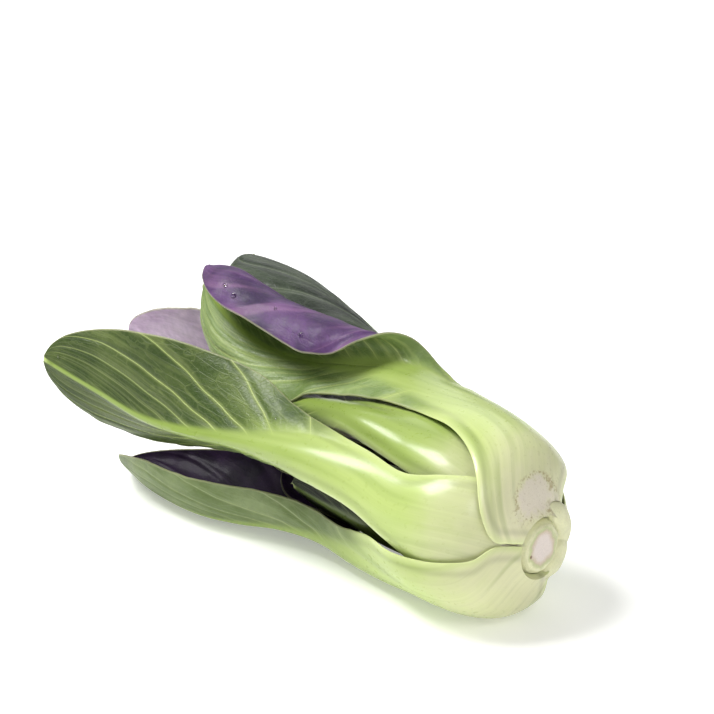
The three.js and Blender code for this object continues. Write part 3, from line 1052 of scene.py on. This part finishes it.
    @staticmethod
    def wrap(top: Array, bottom: Array) -> Shell:
        """Close two faces with a strip round all four sides.

        Args:
            top: grid of points of the outer face.
            bottom: grid of points of the inner face.

        Returns:
            The shell.
        """
        outer = np.arange(top.shape[0] * top.shape[1]).reshape(top.shape[:2])
        inner = outer + outer.size
        round_top = np.concatenate((outer[0, :-1], outer[:-1, -1], outer[-1, :0:-1], outer[:0:-1, 0]))
        round_under = round_top + outer.size
        strip = np.stack((round_top, round_under, np.roll(round_under, -1), np.roll(round_top, -1)), -1)

        quads = np.concatenate((cells(outer), cells(inner)[:, ::-1], strip))
        points = np.concatenate((top.reshape(-1, 3), bottom.reshape(-1, 3)))
        return Shell(points, quads, np.empty((0, 3), int))


# ---- the leaves' measures --------------------------------------------------------------------
LEAVES = {
    Order.TOP: Leaf(
        name="leaf_top", tip=0.88, ruffle=0.9, waves=3.2, scar=(8.2, 2.0, 7.0, 10.5),
        finish=LeafFinish("top_leaf", root=srgb(224, 222, 184), stalk=srgb(192, 208, 128),
                          blade=srgb(130, 150, 92), blade_shade=srgb(104, 126, 66),
                          inner=srgb(86, 56, 102), inner_shade=srgb(48, 30, 66), streak_share=0.5),
        neck=90, wing=22,
        stations=(
            Station(-0.2, 11.2, 85, 0, (12, 0, 60), (11, 0, 55), 22, 3.6),
            Station(-2.2, 15, 85, 0, (17, 0, 64), (15, 0, 55), 20, 4),
            Station(-4.6, 22, 86, 0, (25, 0, 67), (20, 0, 53), 18, 4.4),
            Station(-8, 28.5, 93, 0, (28, 0, 56), (24, 0, 48), 20, 5.2),
            Station(-14, 33.7, 102, 0, (27, 0, 46), (25, 0, 43), 22, 6.5),
            Station(-24, 37.2, 109, -2, (25, 0, 40), (25, 0, 39), 21, 7.6),
            Station(-38, 40, 112, -7, (22, 0, 34), (22, 0, 38), 18, 8),
            Station(-54, 41, 109, -16, (17.5, 0, 26), (18, 0, 40), 14, 7.5),
            Station(-64, 41, 107, -18, (16, 0, 24), (14.5, 0, 22), 12.5, 7),
            Station(-74, 40.5, 105, -20, (14.5, 0, 22), (14.5, -4, -44, 0.6), 11, 6.4),
            Station(-84, 39.5, 104, -20, (14.5, 0, 24), (21.5, -24, -138, 1), 9.5, 5.8),
            Station(-94, 38, 103, -20, (15, 0, 28), (33, -38, -188, 1), 8.5, 5.1),
            Station(-104, 36.5, 102, -16, (17, 0, 38), (41, -46, -194, 0.8), 7.5, 4.5),
            Station(-114, 35, 100, -10, (20, 5, 50), (44, -38, -202, 0.6), 6.5, 3.9),
            Station(-134, 35.5, 95, 0, (20, 5, 78), (46, -28, -208, 0.6), 5.2, 3.1),
            Station(-152, 41, 94, 0, (17, 15, 85), (46, -20, -228, 0.5), 4.2, 2.5),
            Station(-166, 46, 98, 0, (14, 15, 70), (34, -30, -196, 0.5), 3.5, 1.8),
            Station(-178, 51, 103, 0, (7.5, 5, 50), (17, -30, -120, 0.5), 3, 1.3),
        )),
    Order.BOTTOM: Leaf(
        name="leaf_bottom", tip=0.88, ruffle=1.0, waves=3.4, neck=98, wing=26,
        # Its inner face is near black: painted shade for the dark hollow between it and the front leaf.
        finish=LeafFinish("bottom_leaf", blade=srgb(126, 140, 98), blade_shade=srgb(98, 114, 70),
                          vein=srgb(160, 172, 126), inner=srgb(34, 22, 42),
                          inner_shade=srgb(14, 9, 20), inner_vein=srgb(58, 42, 64), shine=0.15),
        stations=(
            Station(-0.2, 11.2, -50, 0, (12.5, 0, 64), (13.5, 0, 70), 22, 3.6),
            Station(-2.2, 15, -51, 0, (17, 0, 64), (18, 0, 68), 20, 4),
            Station(-4.6, 21, -53, 0, (22, 0, 60), (24.5, 0, 66), 18, 4.4),
            Station(-8, 25.8, -56, 0, (26, 0, 57), (27, 0, 56), 18, 5.2),
            Station(-14, 29.3, -59, 0, (29, 0, 57), (31.2, 0, 52), 20, 6.3),
            Station(-24, 31.3, -61, 0, (30, 0, 55), (33.5, 0, 49), 20, 7.2),
            Station(-38, 31.2, -62, 0, (28, 0, 52), (34, 0, 46), 18, 7.5),
            Station(-54, 29.5, -62, 2, (21, 0, 40), (29, 0, 52), 14, 7),
            Station(-74, 27, -62, 4, (16, 0, 34), (19, 0, 58), 11, 5.8),
            Station(-94, 24.8, -62, 4, (20, 0, 52), (17, 0, 66), 8, 4.6),
            Station(-114, 26.4, -60, 0, (33, 0, 88), (18, 0, 64), 6, 3.6),
            Station(-134, 30.8, -57, 0, (42, 0, 98), (20.5, 0, 62), 5, 2.8),
            Station(-154, 33.3, -54, 0, (46, 0, 100), (22, 0, 58), 4.2, 2.2),
            Station(-178, 32, -55, 0, (43, 0, 96), (20, 0, 58), 3.5, 1.6),
            Station(-206, 26.5, -68, 0, (27, 0, 78), (16, 0, 50), 3, 1.3),
        )),
    Order.FRONT: Leaf(
        name="leaf_front", tip=0.89, ruffle=0.7, waves=2.6, neck=118, wing=30,
        finish=LeafFinish("front_leaf", blade=srgb(88, 106, 52), blade_shade=srgb(64, 84, 36),
                          tip_dark=0.34),
        stations=(
            Station(-1.5, 10.5, 24, 0, (7, 0, 42), (8, 0, 46), 7, 3),
            Station(-4.5, 18, 24, 0, (12, 0, 42), (14, 0, 50), 11, 4),
            Station(-9, 24.5, 24, 0, (17, 0, 44), (19, 0, 50), 14, 5),
            Station(-16, 30.5, 23, 0, (21, 0, 46), (20, 0, 46), 17, 6.4),
            Station(-27, 34.6, 21, 0, (19, 0, 46), (18, 0, 44), 16, 7.8),
            Station(-42, 35.2, 20, 0, (12.5, 0, 42), (14.5, 0, 42), 13, 8.4),
            Station(-60, 35, 26.5, 0, (9.5, 0, 40), (13.5, 0, 40), 11.5, 7.6),
            Station(-80, 35.3, 29.5, 0, (8.5, 0, 45), (14.5, 0, 36), 10, 6.4),
            Station(-100, 35.5, 28, 0, (9, 20, 65), (19, 4, 30), 7.5, 5),
            Station(-120, 35.5, 24.5, 0, (16, 55, 45), (27, 5, 18), 5.5, 4),
            Station(-142, 36, 20, 0, (23, 62, 32), (31, 0, 12), 4.6, 3.1),
            Station(-162, 37.5, 19.5, 0, (24.5, 54, 28), (31.5, -8, 4), 3.8, 2.6),
            Station(-184, 43.5, 25.5, 0, (21.5, 42, 22), (25, -12, 0), 3.2, 1.9),
            Station(-208, 52.5, 31, 0, (20, 28, 14), (20, -12, 0), 2.8, 1.3),
        )),
    Order.BACK: Leaf(
        name="leaf_back", tip=0.87, ruffle=0.9, waves=3.0,
        # Its inner face is pale lilac, made paler with painted light, so that it looks brightly lit
        # though it faces away from the lamps.
        finish=LeafFinish("back_leaf", inner=srgb(206, 188, 206), inner_shade=srgb(184, 160, 186),
                          inner_vein=srgb(222, 206, 220)),
        stations=(
            Station(-1.5, 10.5, 200, 0, (8, 0, 42), (7, 0, 42), 7, 3),
            Station(-4.5, 18, 201, 0, (13, 0, 42), (13, 0, 44), 11, 4),
            Station(-9, 24.2, 202, 0, (18, 0, 44), (19, 0, 50), 14, 5),
            Station(-16, 30, 204, 0, (23, 0, 46), (25, 0, 56), 17, 6.4),
            Station(-27, 34, 209, 0, (26, 0, 46), (28, 0, 60), 18, 7.6),
            Station(-42, 36, 214, 0, (22, 0, 42), (24, 0, 56), 16, 8),
            Station(-60, 36, 217, 0, (16, 0, 36), (17, 0, 44), 13, 7.2),
            Station(-80, 33, 210, 0, (13, 0, 28), (13, 0, 30), 10, 6),
            Station(-102, 31, 198, 0, (15, 0, 22), (15, 0, 26), 8, 4.8),
            Station(-126, 29, 184, 0, (22, 0, 20), (21, 4, 28), 6, 3.8),
            Station(-150, 28, 173, 6, (27, 0, 16), (25, 6, 30), 5, 3),
            Station(-176, 26, 158, 12, (27, -4, 10), (25, 8, 26), 4.2, 2.3),
            Station(-200, 24, 141, 22, (23, -6, 6), (22, 6, 20), 3.4, 1.6),
            Station(-225, 22.5, 125, 32, (19, -6, 0), (19, 4, 14), 3, 1.1),
        )),
    Order.INNER_TOP: Leaf(
        name="inner_leaf_top", slot="inner_leaf", tip=0.86, ruffle=0.8, waves=2.4,
        finish=LeafFinish("inner_top_leaf", stalk=srgb(160, 180, 98), neck=srgb(128, 150, 66),
                          blade=srgb(84, 102, 56), blade_shade=srgb(60, 78, 40)),
        neck=86, wing=18, fan=0.8, rows=150, columns=90,
        stations=(
            Station(-5, 14, 60, 0, (9, 0, 50), (9, 0, 50), 8, 3),
            Station(-10, 20.5, 62, 0, (13, 0, 48), (13, 0, 48), 11, 4.5),
            Station(-18, 27, 64, 0, (15, 0, 46), (16, 0, 50), 13, 6),
            Station(-30, 32.2, 65, 0, (14, 0, 56), (18, 0, 44), 14, 8),
            Station(-45, 34, 65, 0, (12, 0, 60), (20, 0, 34), 12, 9),
            Station(-62, 33.5, 66, 0, (9, 0, 56), (20, 0, 26), 10, 8),
            Station(-80, 32, 68, 0, (6.5, 0, 50), (18, 0, 28), 8, 6),
            Station(-98, 28.5, 73, 0, (8, 0, 46), (16, 0, 34), 6, 4.2),
            Station(-120, 25, 79, 0, (14, 0, 56), (16, 0, 50), 4, 2.4),
            Station(-144, 24, 82, 0, (16, 0, 56), (17, 0, 50), 3.2, 1.5),
            Station(-166, 24, 84, 0, (12, 0, 50), (12, 0, 46), 3, 1.1),
        )),
    Order.INNER_BACK: Leaf(
        name="inner_leaf_back", slot="inner_leaf", tip=0.88, ruffle=1.0, waves=3.0,
        # Its blade colours are very dark: painted shade, for a leaf that lies in shade.
        finish=LeafFinish("inner_back_leaf", blade=srgb(56, 66, 50), blade_shade=srgb(32, 40, 30),
                          vein=srgb(104, 114, 92), streak_share=0.4),
        rows=180, columns=110,
        stations=(
            Station(-5, 14, 152, 0, (10, 0, 50), (10, 0, 50), 8, 3),
            Station(-10, 20.5, 152, 0, (14, 0, 50), (14, 0, 50), 11, 4.5),
            Station(-18, 26, 152, 0, (17, 0, 50), (17, 0, 50), 13, 6),
            Station(-30, 29.5, 152, 0, (17, 0, 50), (17, 0, 50), 14, 7),
            Station(-45, 31.5, 151, 0, (14, 0, 42), (14, 0, 46), 12, 7),
            Station(-62, 35, 149, 0, (11, 0, 34), (11, 0, 34), 9, 6),
            Station(-82, 41, 145, 0, (11, 0, 30), (11, 0, 30), 7, 4.6),
            Station(-104, 50, 139, 0, (27, -8, 56), (17, 0, 24), 5.5, 3.7),
            Station(-126, 58, 133, 0, (34, -10, 84), (24, 0, 20), 4.5, 2.9),
            Station(-148, 64.5, 127, 0, (36, -10, 92), (27, 0, 14), 3.8, 2.3),
            Station(-162, 66, 123, 0, (30, -10, 80), (24, 0, 10), 3.2, 1.8),
            Station(-174, 66, 119, 0, (23, -8, 54), (18, 0, 8), 3, 1.3),
        )),
}

# The young leaves of the heart are small copies of one plan, each on its own side.
# A plan row is (x, out, half width, cup, rib, thick) for a leaf 100 long.
YOUNG_PLAN = (
    (-7, 8.5, 6, 50, 5.5, 3),
    (-14, 13.5, 9.5, 48, 9, 5.5),
    (-26, 17, 11.5, 48, 11, 7),
    (-42, 17.5, 10, 46, 9, 6.6),
    (-58, 16.5, 8.5, 46, 6, 4.6),
    (-74, 15, 11, 54, 4, 2.8),
    (-88, 14, 11, 52, 3, 1.9),
    (-100, 13, 8, 46, 2.6, 1.3),
)
BULB_ROWS = 2                # a young leaf's first rows, which stay in the bulb at any length
# Young leaves are darker than old ones, and their blades are darker still as painted shade, for they lie
# deep in the shaded hollow of the head.
YOUNG_FINISH = LeafFinish(
    "young_leaf", stalk=srgb(150, 166, 96), neck=srgb(76, 92, 46), blade=srgb(44, 52, 34), shine=0.2,
    blade_shade=srgb(28, 32, 26), vein=srgb(104, 112, 78), inner=srgb(62, 42, 76),
    inner_shade=srgb(34, 22, 48), inner_vein=srgb(88, 64, 98))


def young_leaf(name: str, az: float, size: float, out: float, twist: float) -> Leaf:
    """Make one young leaf of the heart from the plan.

    Args:
        name: the node it stands for.
        az: the side of the head it is on, in degrees.
        size: its length as a share of 100 mm.
        out: its breadth and distance from the axis, as a share of the plan's.
        twist: how far it turns round the axis from one plan row to the next, in degrees.

    Returns:
        The leaf.
    """
    stations = tuple(
        Station(x if i < BULB_ROWS else x * size, r * out, az + twist * i, 0,
                (wide * out, 0, cup), (wide * out, 0, cup), rib * out, thick)
        for i, (x, r, wide, cup, rib, thick) in enumerate(YOUNG_PLAN))
    return Leaf(name=name, stations=stations, slot="inner_leaf", tip=0.84, ruffle=0.5, waves=2,
                finish=YOUNG_FINISH, neck=48 * size, wing=14, fan=0.6,
                ridge=0.2, quilt=0.2, crimp=0.1, rows=90, columns=50)


YOUNG_LEAVES = {             # az, size, out and twist of each
    Order.INNER_FRONT: (-34, 1.05, 1.18, 3),
    Order.INNER_BOTTOM: (252, 1.35, 1.3, -3),
    Order.HEART_1: (28, 1.3, 0.95, 2),
    Order.HEART_2: (140, 1.2, 0.9, 2),
    Order.HEART_3: (260, 1.0, 0.85, 2),
}
LEAVES |= {order: young_leaf(order.value, *numbers) for order, numbers in YOUNG_LEAVES.items()}


# ---- sub-assemblies --------------------------------------------------------------------------
@dataclass(frozen=True)
class Crescent:
    """One part of the collar, round the core from `az - half` to `az + half`, in mm and degrees.

    Its middle lies at `x` along the axis and `out` from it; `wide` and `deep` are half its
    thickness away from the axis and along it.
    """

    az: float
    half: float
    x: float
    out: float
    wide: float
    deep: float


@dataclass
class Stem:
    """The short core that all leaves grow from, with its cut face and a collar of leaf bases.

    The core is (x, radius) from its hidden inner end to the cut.  The collar's crescents are
    laid round it and taper to their ends.
    """

    node: str = "stem_base"
    core: tuple[tuple[float, float], ...] = (
        (-30, 0), (-28, 2.5), (-18, 6.5), (-10, 10), (-5, 10.6), (-2, 9.4), (-0.4, 8.2),
        (0, 7.4), (0.05, 4.0), (0, 0))
    collar: tuple[Crescent, ...] = (
        Crescent(az=157, half=50, x=-3, out=13.2, wide=4.4, deep=2.9),
        Crescent(az=217, half=42, x=-2.5, out=12, wide=4, deep=2.7))
    finish: StemFinish = field(default_factory=StemFinish)
    core_rings: int = 38
    core_around: int = 96
    collar_rings: int = 32
    collar_around: int = 48
    end_grow: float = 5.0        # degrees by which a crescent's ends grow for each mm it swells

    def core_shell(self, grow: float = 0.0) -> Shell:
        """Turn the core's profile round the axis.

        A point is (x, -r cos a, r sin a) for the profile's x and r, with the radius rippled by
        two low sines of the angle a; one point closes each pole.  Swelling moves the cut out
        as well.

        Args:
            grow: how far the core is swollen, mm.

        Returns:
            The shell.
        """
        t = np.linspace(0, 1, self.core_rings + 2)[1:-1, None]
        profile = np.array(self.core)
        x = np.interp(t * (len(profile) - 1), np.arange(len(profile)), profile[:, 0])
        r = np.interp(t * (len(profile) - 1), np.arange(len(profile)), profile[:, 1]) + grow
        a = np.linspace(0, 2 * np.pi, self.core_around, endpoint=False)[None, :]
        r = r * (1 + 0.02 * np.sin(3 * a + 0.5) + 0.012 * np.sin(7 * a))
        x = x + np.zeros_like(a) + grow * (x > -1)
        rings = np.stack((x, -r * np.cos(a), r * np.sin(a)), -1)
        return self.poles(rings, profile[0, 0] - grow, profile[-1, 0] + grow)

    @staticmethod
    def poles(rings: Array, first: float, last: float) -> Shell:
        """Close a stack of rings with a point on the axis at each end.

        Args:
            rings: points by ring and angle.
            first: the first pole's x.
            last: the last pole's x.

        Returns:
            The shell, facing outwards.
        """
        count, around = rings.shape[:2]
        grid = np.arange(count * around).reshape(count, around)
        grid = np.concatenate((grid, grid[:, :1]), axis=1)
        ends = np.array([[first, 0, 0], [last, 0, 0]], float)
        ends[:, 1:] = rings[[0, -1]].mean(1)[:, 1:]
        points = np.concatenate((rings.reshape(-1, 3), ends))
        quads = np.stack((grid[:-1, :-1], grid[1:, :-1], grid[1:, 1:], grid[:-1, 1:]),
                         -1).reshape(-1, 4)
        south, north = count * around, count * around + 1
        fan = np.stack((grid[0, :-1], grid[0, 1:], np.full(around, south)), -1)
        cap = np.stack((grid[-1, 1:], grid[-1, :-1], np.full(around, north)), -1)
        return Shell(points, quads, np.concatenate((fan, cap)))

    def collar_shell(self, part: Crescent, grow: float = 0.0) -> Shell:
        """Bend a ball into a crescent round the core.

        The ball's own y turns round the axis, its x moves off the axis and its z along it, and
        a few sines roughen the skin.

        Args:
            part: the crescent.
            grow: how far it is swollen, mm.

        Returns:
            The shell.
        """
        lat = np.linspace(0, np.pi, self.collar_rings + 2)[1:-1, None]
        lon = np.linspace(2 * np.pi, 0, self.collar_around, endpoint=False)[None, :]
        bx, by, bz = np.sin(lat) * np.cos(lon), np.cos(lat) + 0 * lon, np.sin(lat) * np.sin(lon)
        bump = 1 + 0.05 * np.sin(4 * by + 2 * bx) + 0.04 * np.sin(7 * by - 3 * bz)
        ends = np.array([1.0, -1.0])
        balls = [np.concatenate((a.ravel(), b)) for a, b in (
            (bx * bump, 0 * ends), (by, ends), (bz * bump, 0 * ends))]
        turn = np.radians(part.az - (part.half + grow * self.end_grow) * balls[1])
        r = part.out + (part.wide + grow) * balls[0]
        x = part.x + (part.deep + grow) * balls[2]
        points = np.stack((x, -r * np.cos(turn), r * np.sin(turn)), -1)
        shell = self.poles(np.zeros((self.collar_rings, self.collar_around, 3)), 0, 0)
        return Shell(points, shell.quads, shell.triangles)

    def mesh(self, grow: float = 0.0) -> bpy.types.Mesh:
        """Join the core and its collar into one closed mesh.

        Args:
            grow: how far both are swollen, mm.

        Returns:
            The mesh.
        """
        body = self.core_shell(grow).mesh("core")
        for part in self.collar:
            body = combine(body, self.collar_shell(part, grow).mesh("collar"), "UNION")
        return body

    def build(self) -> bpy.types.Object:
        """Make the stem's piece and dress it."""
        return dress(self.mesh(), self.node, "stem", self.finish.material())


def dress(mesh: bpy.types.Mesh, node: str, slot: str,
          material: bpy.types.Material) -> bpy.types.Object:
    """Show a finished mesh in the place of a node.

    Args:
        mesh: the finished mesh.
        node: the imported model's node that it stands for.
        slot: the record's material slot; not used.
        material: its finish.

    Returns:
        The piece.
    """
    mesh.name = "fresh_" + node
    mesh.materials.clear()
    mesh.materials.append(material)
    mesh.shade_smooth()
    mesh.set_sharp_from_angle(angle=CREASE)
    piece = link("fresh_" + node, mesh)
    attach(piece, "root")
    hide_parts(node)
    log.info("%s: %d faces", piece.name, len(mesh.polygons))
    return piece


@dataclass
class Head:
    """The whole head: the stem, and the leaves wrapped round it from the outside in."""

    stem: Stem = field(default_factory=Stem)

    def build(self) -> None:
        """Make every leaf, each giving way to the stem and to the leaves that wrap it."""
        self.stem.build()
        taken = self.stem.mesh(TOUCH_GAP)
        for order in Order:
            leaf = LEAVES[order]
            whole = leaf.shell().mesh(leaf.name)
            mesh = combine(whole, taken.copy(), "DIFFERENCE")
            keep_largest(mesh)
            dress(mesh, leaf.name, leaf.slot, leaf.finish.material(leaf.neck))
            taken = combine(taken, leaf.room().mesh("room"), "UNION")


@dataclass(frozen=True)
class Drop:
    """One water drop: the leaf it sits on, its place in u and v, its radius in mm, and its side."""

    leaf: Order
    u: float
    v: float
    radius: float
    outer: bool = True


@dataclass
class Drops:
    """The few water drops left on the leaves, as one piece of low closed domes."""

    places: tuple[Drop, ...] = (
        Drop(Order.FRONT, 0.702, 0.39, 0.8), Drop(Order.FRONT, 0.679, 0.43, 1.0),
        Drop(Order.FRONT, 0.629, 0.56, 0.9), Drop(Order.FRONT, 0.980, 0.33, 0.8),
        Drop(Order.FRONT, 0.902, 0.36, 0.6), Drop(Order.FRONT, 0.655, 0.50, 0.5),
        Drop(Order.TOP, 0.857, 0.88, 1.0, False), Drop(Order.TOP, 0.877, 0.85, 0.8, False),
        Drop(Order.TOP, 0.739, 0.87, 0.9, False), Drop(Order.TOP, 0.800, 0.80, 0.6, False),
    )
    height: float = 0.55         # height of a drop as a share of its radius
    sunk: float = 0.12           # how far its middle lies under the skin, as a share of its radius
    rings: int = 9
    around: int = 20

    def dome(self, drop: Drop) -> Shell:
        """Shape one drop.

        A flattened ball: its point at angles a and b is the middle, plus the radius times
        (sin a cos b) and (sin a sin b) along two lines in the skin, plus the radius times the
        height times cos a out of the skin.

        Args:
            drop: which leaf it sits on, where and how large.

        Returns:
            The closed shell.
        """
        leaf = LEAVES[drop.leaf]
        u, v = np.array([[drop.u]]), np.array([[drop.v]])
        normal, ahead = (part[0, 0] for part in leaf.outward(u, v))
        seat = leaf.sheet(u, v)[0, 0] + (0.0 if drop.outer else -BLADE) * normal
        out = normal if drop.outer else -normal
        side = np.cross(out, ahead)
        middle = seat - out * self.sunk * drop.radius
        a = np.linspace(0, np.pi, self.rings + 2)[1:-1, None, None]
        b = np.linspace(2 * np.pi, 0, self.around, endpoint=False)[None, :, None]
        rings = middle + drop.radius * (
            np.sin(a) * (np.cos(b) * ahead + np.sin(b) * side) - self.height * np.cos(a) * out)
        shell = Stem.poles(rings, 0, 0)
        reach = drop.radius * self.height * out
        shell.points[-2:] = middle - reach, middle + reach
        return shell

    def build(self) -> bpy.types.Object:
        """Join the drops into one piece.

        Returns:
            The piece.
        """
        shells = [self.dome(drop) for drop in self.places]
        start = np.cumsum([0] + [len(one.points) for one in shells[:-1]])
        joined = Shell(
            np.concatenate([one.points for one in shells]),
            np.concatenate([one.quads + first for one, first in zip(shells, start)]),
            np.concatenate([one.triangles + first for one, first in zip(shells, start)]))
        piece = link("water_drops", joined.mesh("water_drops"))
        piece.data.materials.append(WaterFinish().material())
        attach(piece, "root")
        log.info("%s: %d drops", piece.name, len(shells))
        return piece


@dataclass(frozen=True)
class Lamp:
    """A square soft box: where it hangs and its side, in metres, and its power in watts."""

    name: str
    place: tuple[float, float, float]
    side: float
    power: float


@dataclass
class Studio:
    """The pale floor, the soft lights and the camera, in metres and degrees."""

    floor_half: float = 3.0
    floor_drop: float = 0.0003       # how far it lies under the head
    lens: float = 120.0              # mm
    sensor: float = 36.0             # mm
    clip: tuple[float, float] = (0.01, 50.0)
    eye: tuple[float, float, float] = (0.574885, -0.574502, 0.364546)
    azimuth: float = 44.0
    elevation: float = 20.0
    lit: tuple[float, float, float] = (0.02, 0.0, 0.03)     # what the lamps face
    sky_strength: float = 0.27
    lamps: tuple[Lamp, ...] = (
        Lamp("key", (-0.38, -0.4, 1.05), 0.5, 15.5),
        Lamp("fill", (1.0, -0.5, 0.9), 0.5, 4.0),
        Lamp("back", (-0.85, 1.0, 0.9), 0.9, 3.6))

    def floor(self) -> None:
        """Lay the floor just under the head."""
        h, z = self.floor_half, -self.floor_drop
        mesh = bpy.data.meshes.new("floor")
        mesh.from_pydata([(-h, -h, z), (h, -h, z), (h, h, z), (-h, h, z)], [], [(0, 1, 2, 3)])
        mesh.materials.append(FloorFinish().material())
        link("floor", mesh)

    def hang(self, lamp: Lamp) -> None:
        """Hang a soft box so that it faces the head.

        Args:
            lamp: the soft box.
        """
        data = bpy.data.lights.new(lamp.name, "AREA")
        data.size, data.energy = lamp.side, lamp.power
        made = bpy.data.objects.new(lamp.name, data)
        ray = unit(np.array(self.lit) - np.array(lamp.place))
        side = unit(np.cross(ray, (0.0, 0.02, 1.0)))
        turn = np.eye(4)
        turn[:3, :3] = np.stack((side, np.cross(side, ray), -ray), 1)
        turn[:3, 3] = lamp.place
        made.matrix_world = Matrix(turn.tolist())
        bpy.context.scene.collection.objects.link(made)

    def sky(self) -> None:
        """Fill the room with even white light."""
        world = bpy.data.worlds.new("room")
        world.use_nodes = True
        ground = world.node_tree.nodes["Background"]
        ground.inputs["Color"].default_value = (1.0, 1.0, 1.0, 1.0)
        ground.inputs["Strength"].default_value = self.sky_strength
        bpy.context.scene.world = world

    def camera(self) -> None:
        """Set the camera at `eye`, turned to `azimuth` and down by `elevation`."""
        a, e = math.radians(self.azimuth), math.radians(self.elevation)
        right = (math.cos(a), math.sin(a), 0.0)
        up = (-math.sin(a) * math.sin(e), math.cos(a) * math.sin(e), math.cos(e))
        back = (math.sin(a) * math.cos(e), -math.cos(a) * math.cos(e), math.sin(e))
        data = bpy.data.cameras.new("camera")
        data.lens, data.sensor_width, data.sensor_height = self.lens, self.sensor, self.sensor
        data.clip_start, data.clip_end = self.clip
        made = bpy.data.objects.new("camera", data)
        turn = np.eye(4)
        turn[:3] = np.stack((right, up, back, self.eye), 1)
        made.matrix_world = Matrix(turn.tolist())
        bpy.context.scene.collection.objects.link(made)
        bpy.context.scene.camera = made

    def build(self) -> None:
        """Set up the whole studio."""
        self.camera()
        self.floor()
        self.sky()
        for lamp in self.lamps:
            self.hang(lamp)
        bpy.context.scene.view_settings.view_transform = "Standard"


def main() -> None:
    """Build the studio, the head and the water on it."""
    logging.basicConfig(level=logging.INFO, format="%(name)s: %(message)s")
    Studio().build()
    Head().build()
    Drops().build()


if __name__ == "__main__":
    main()
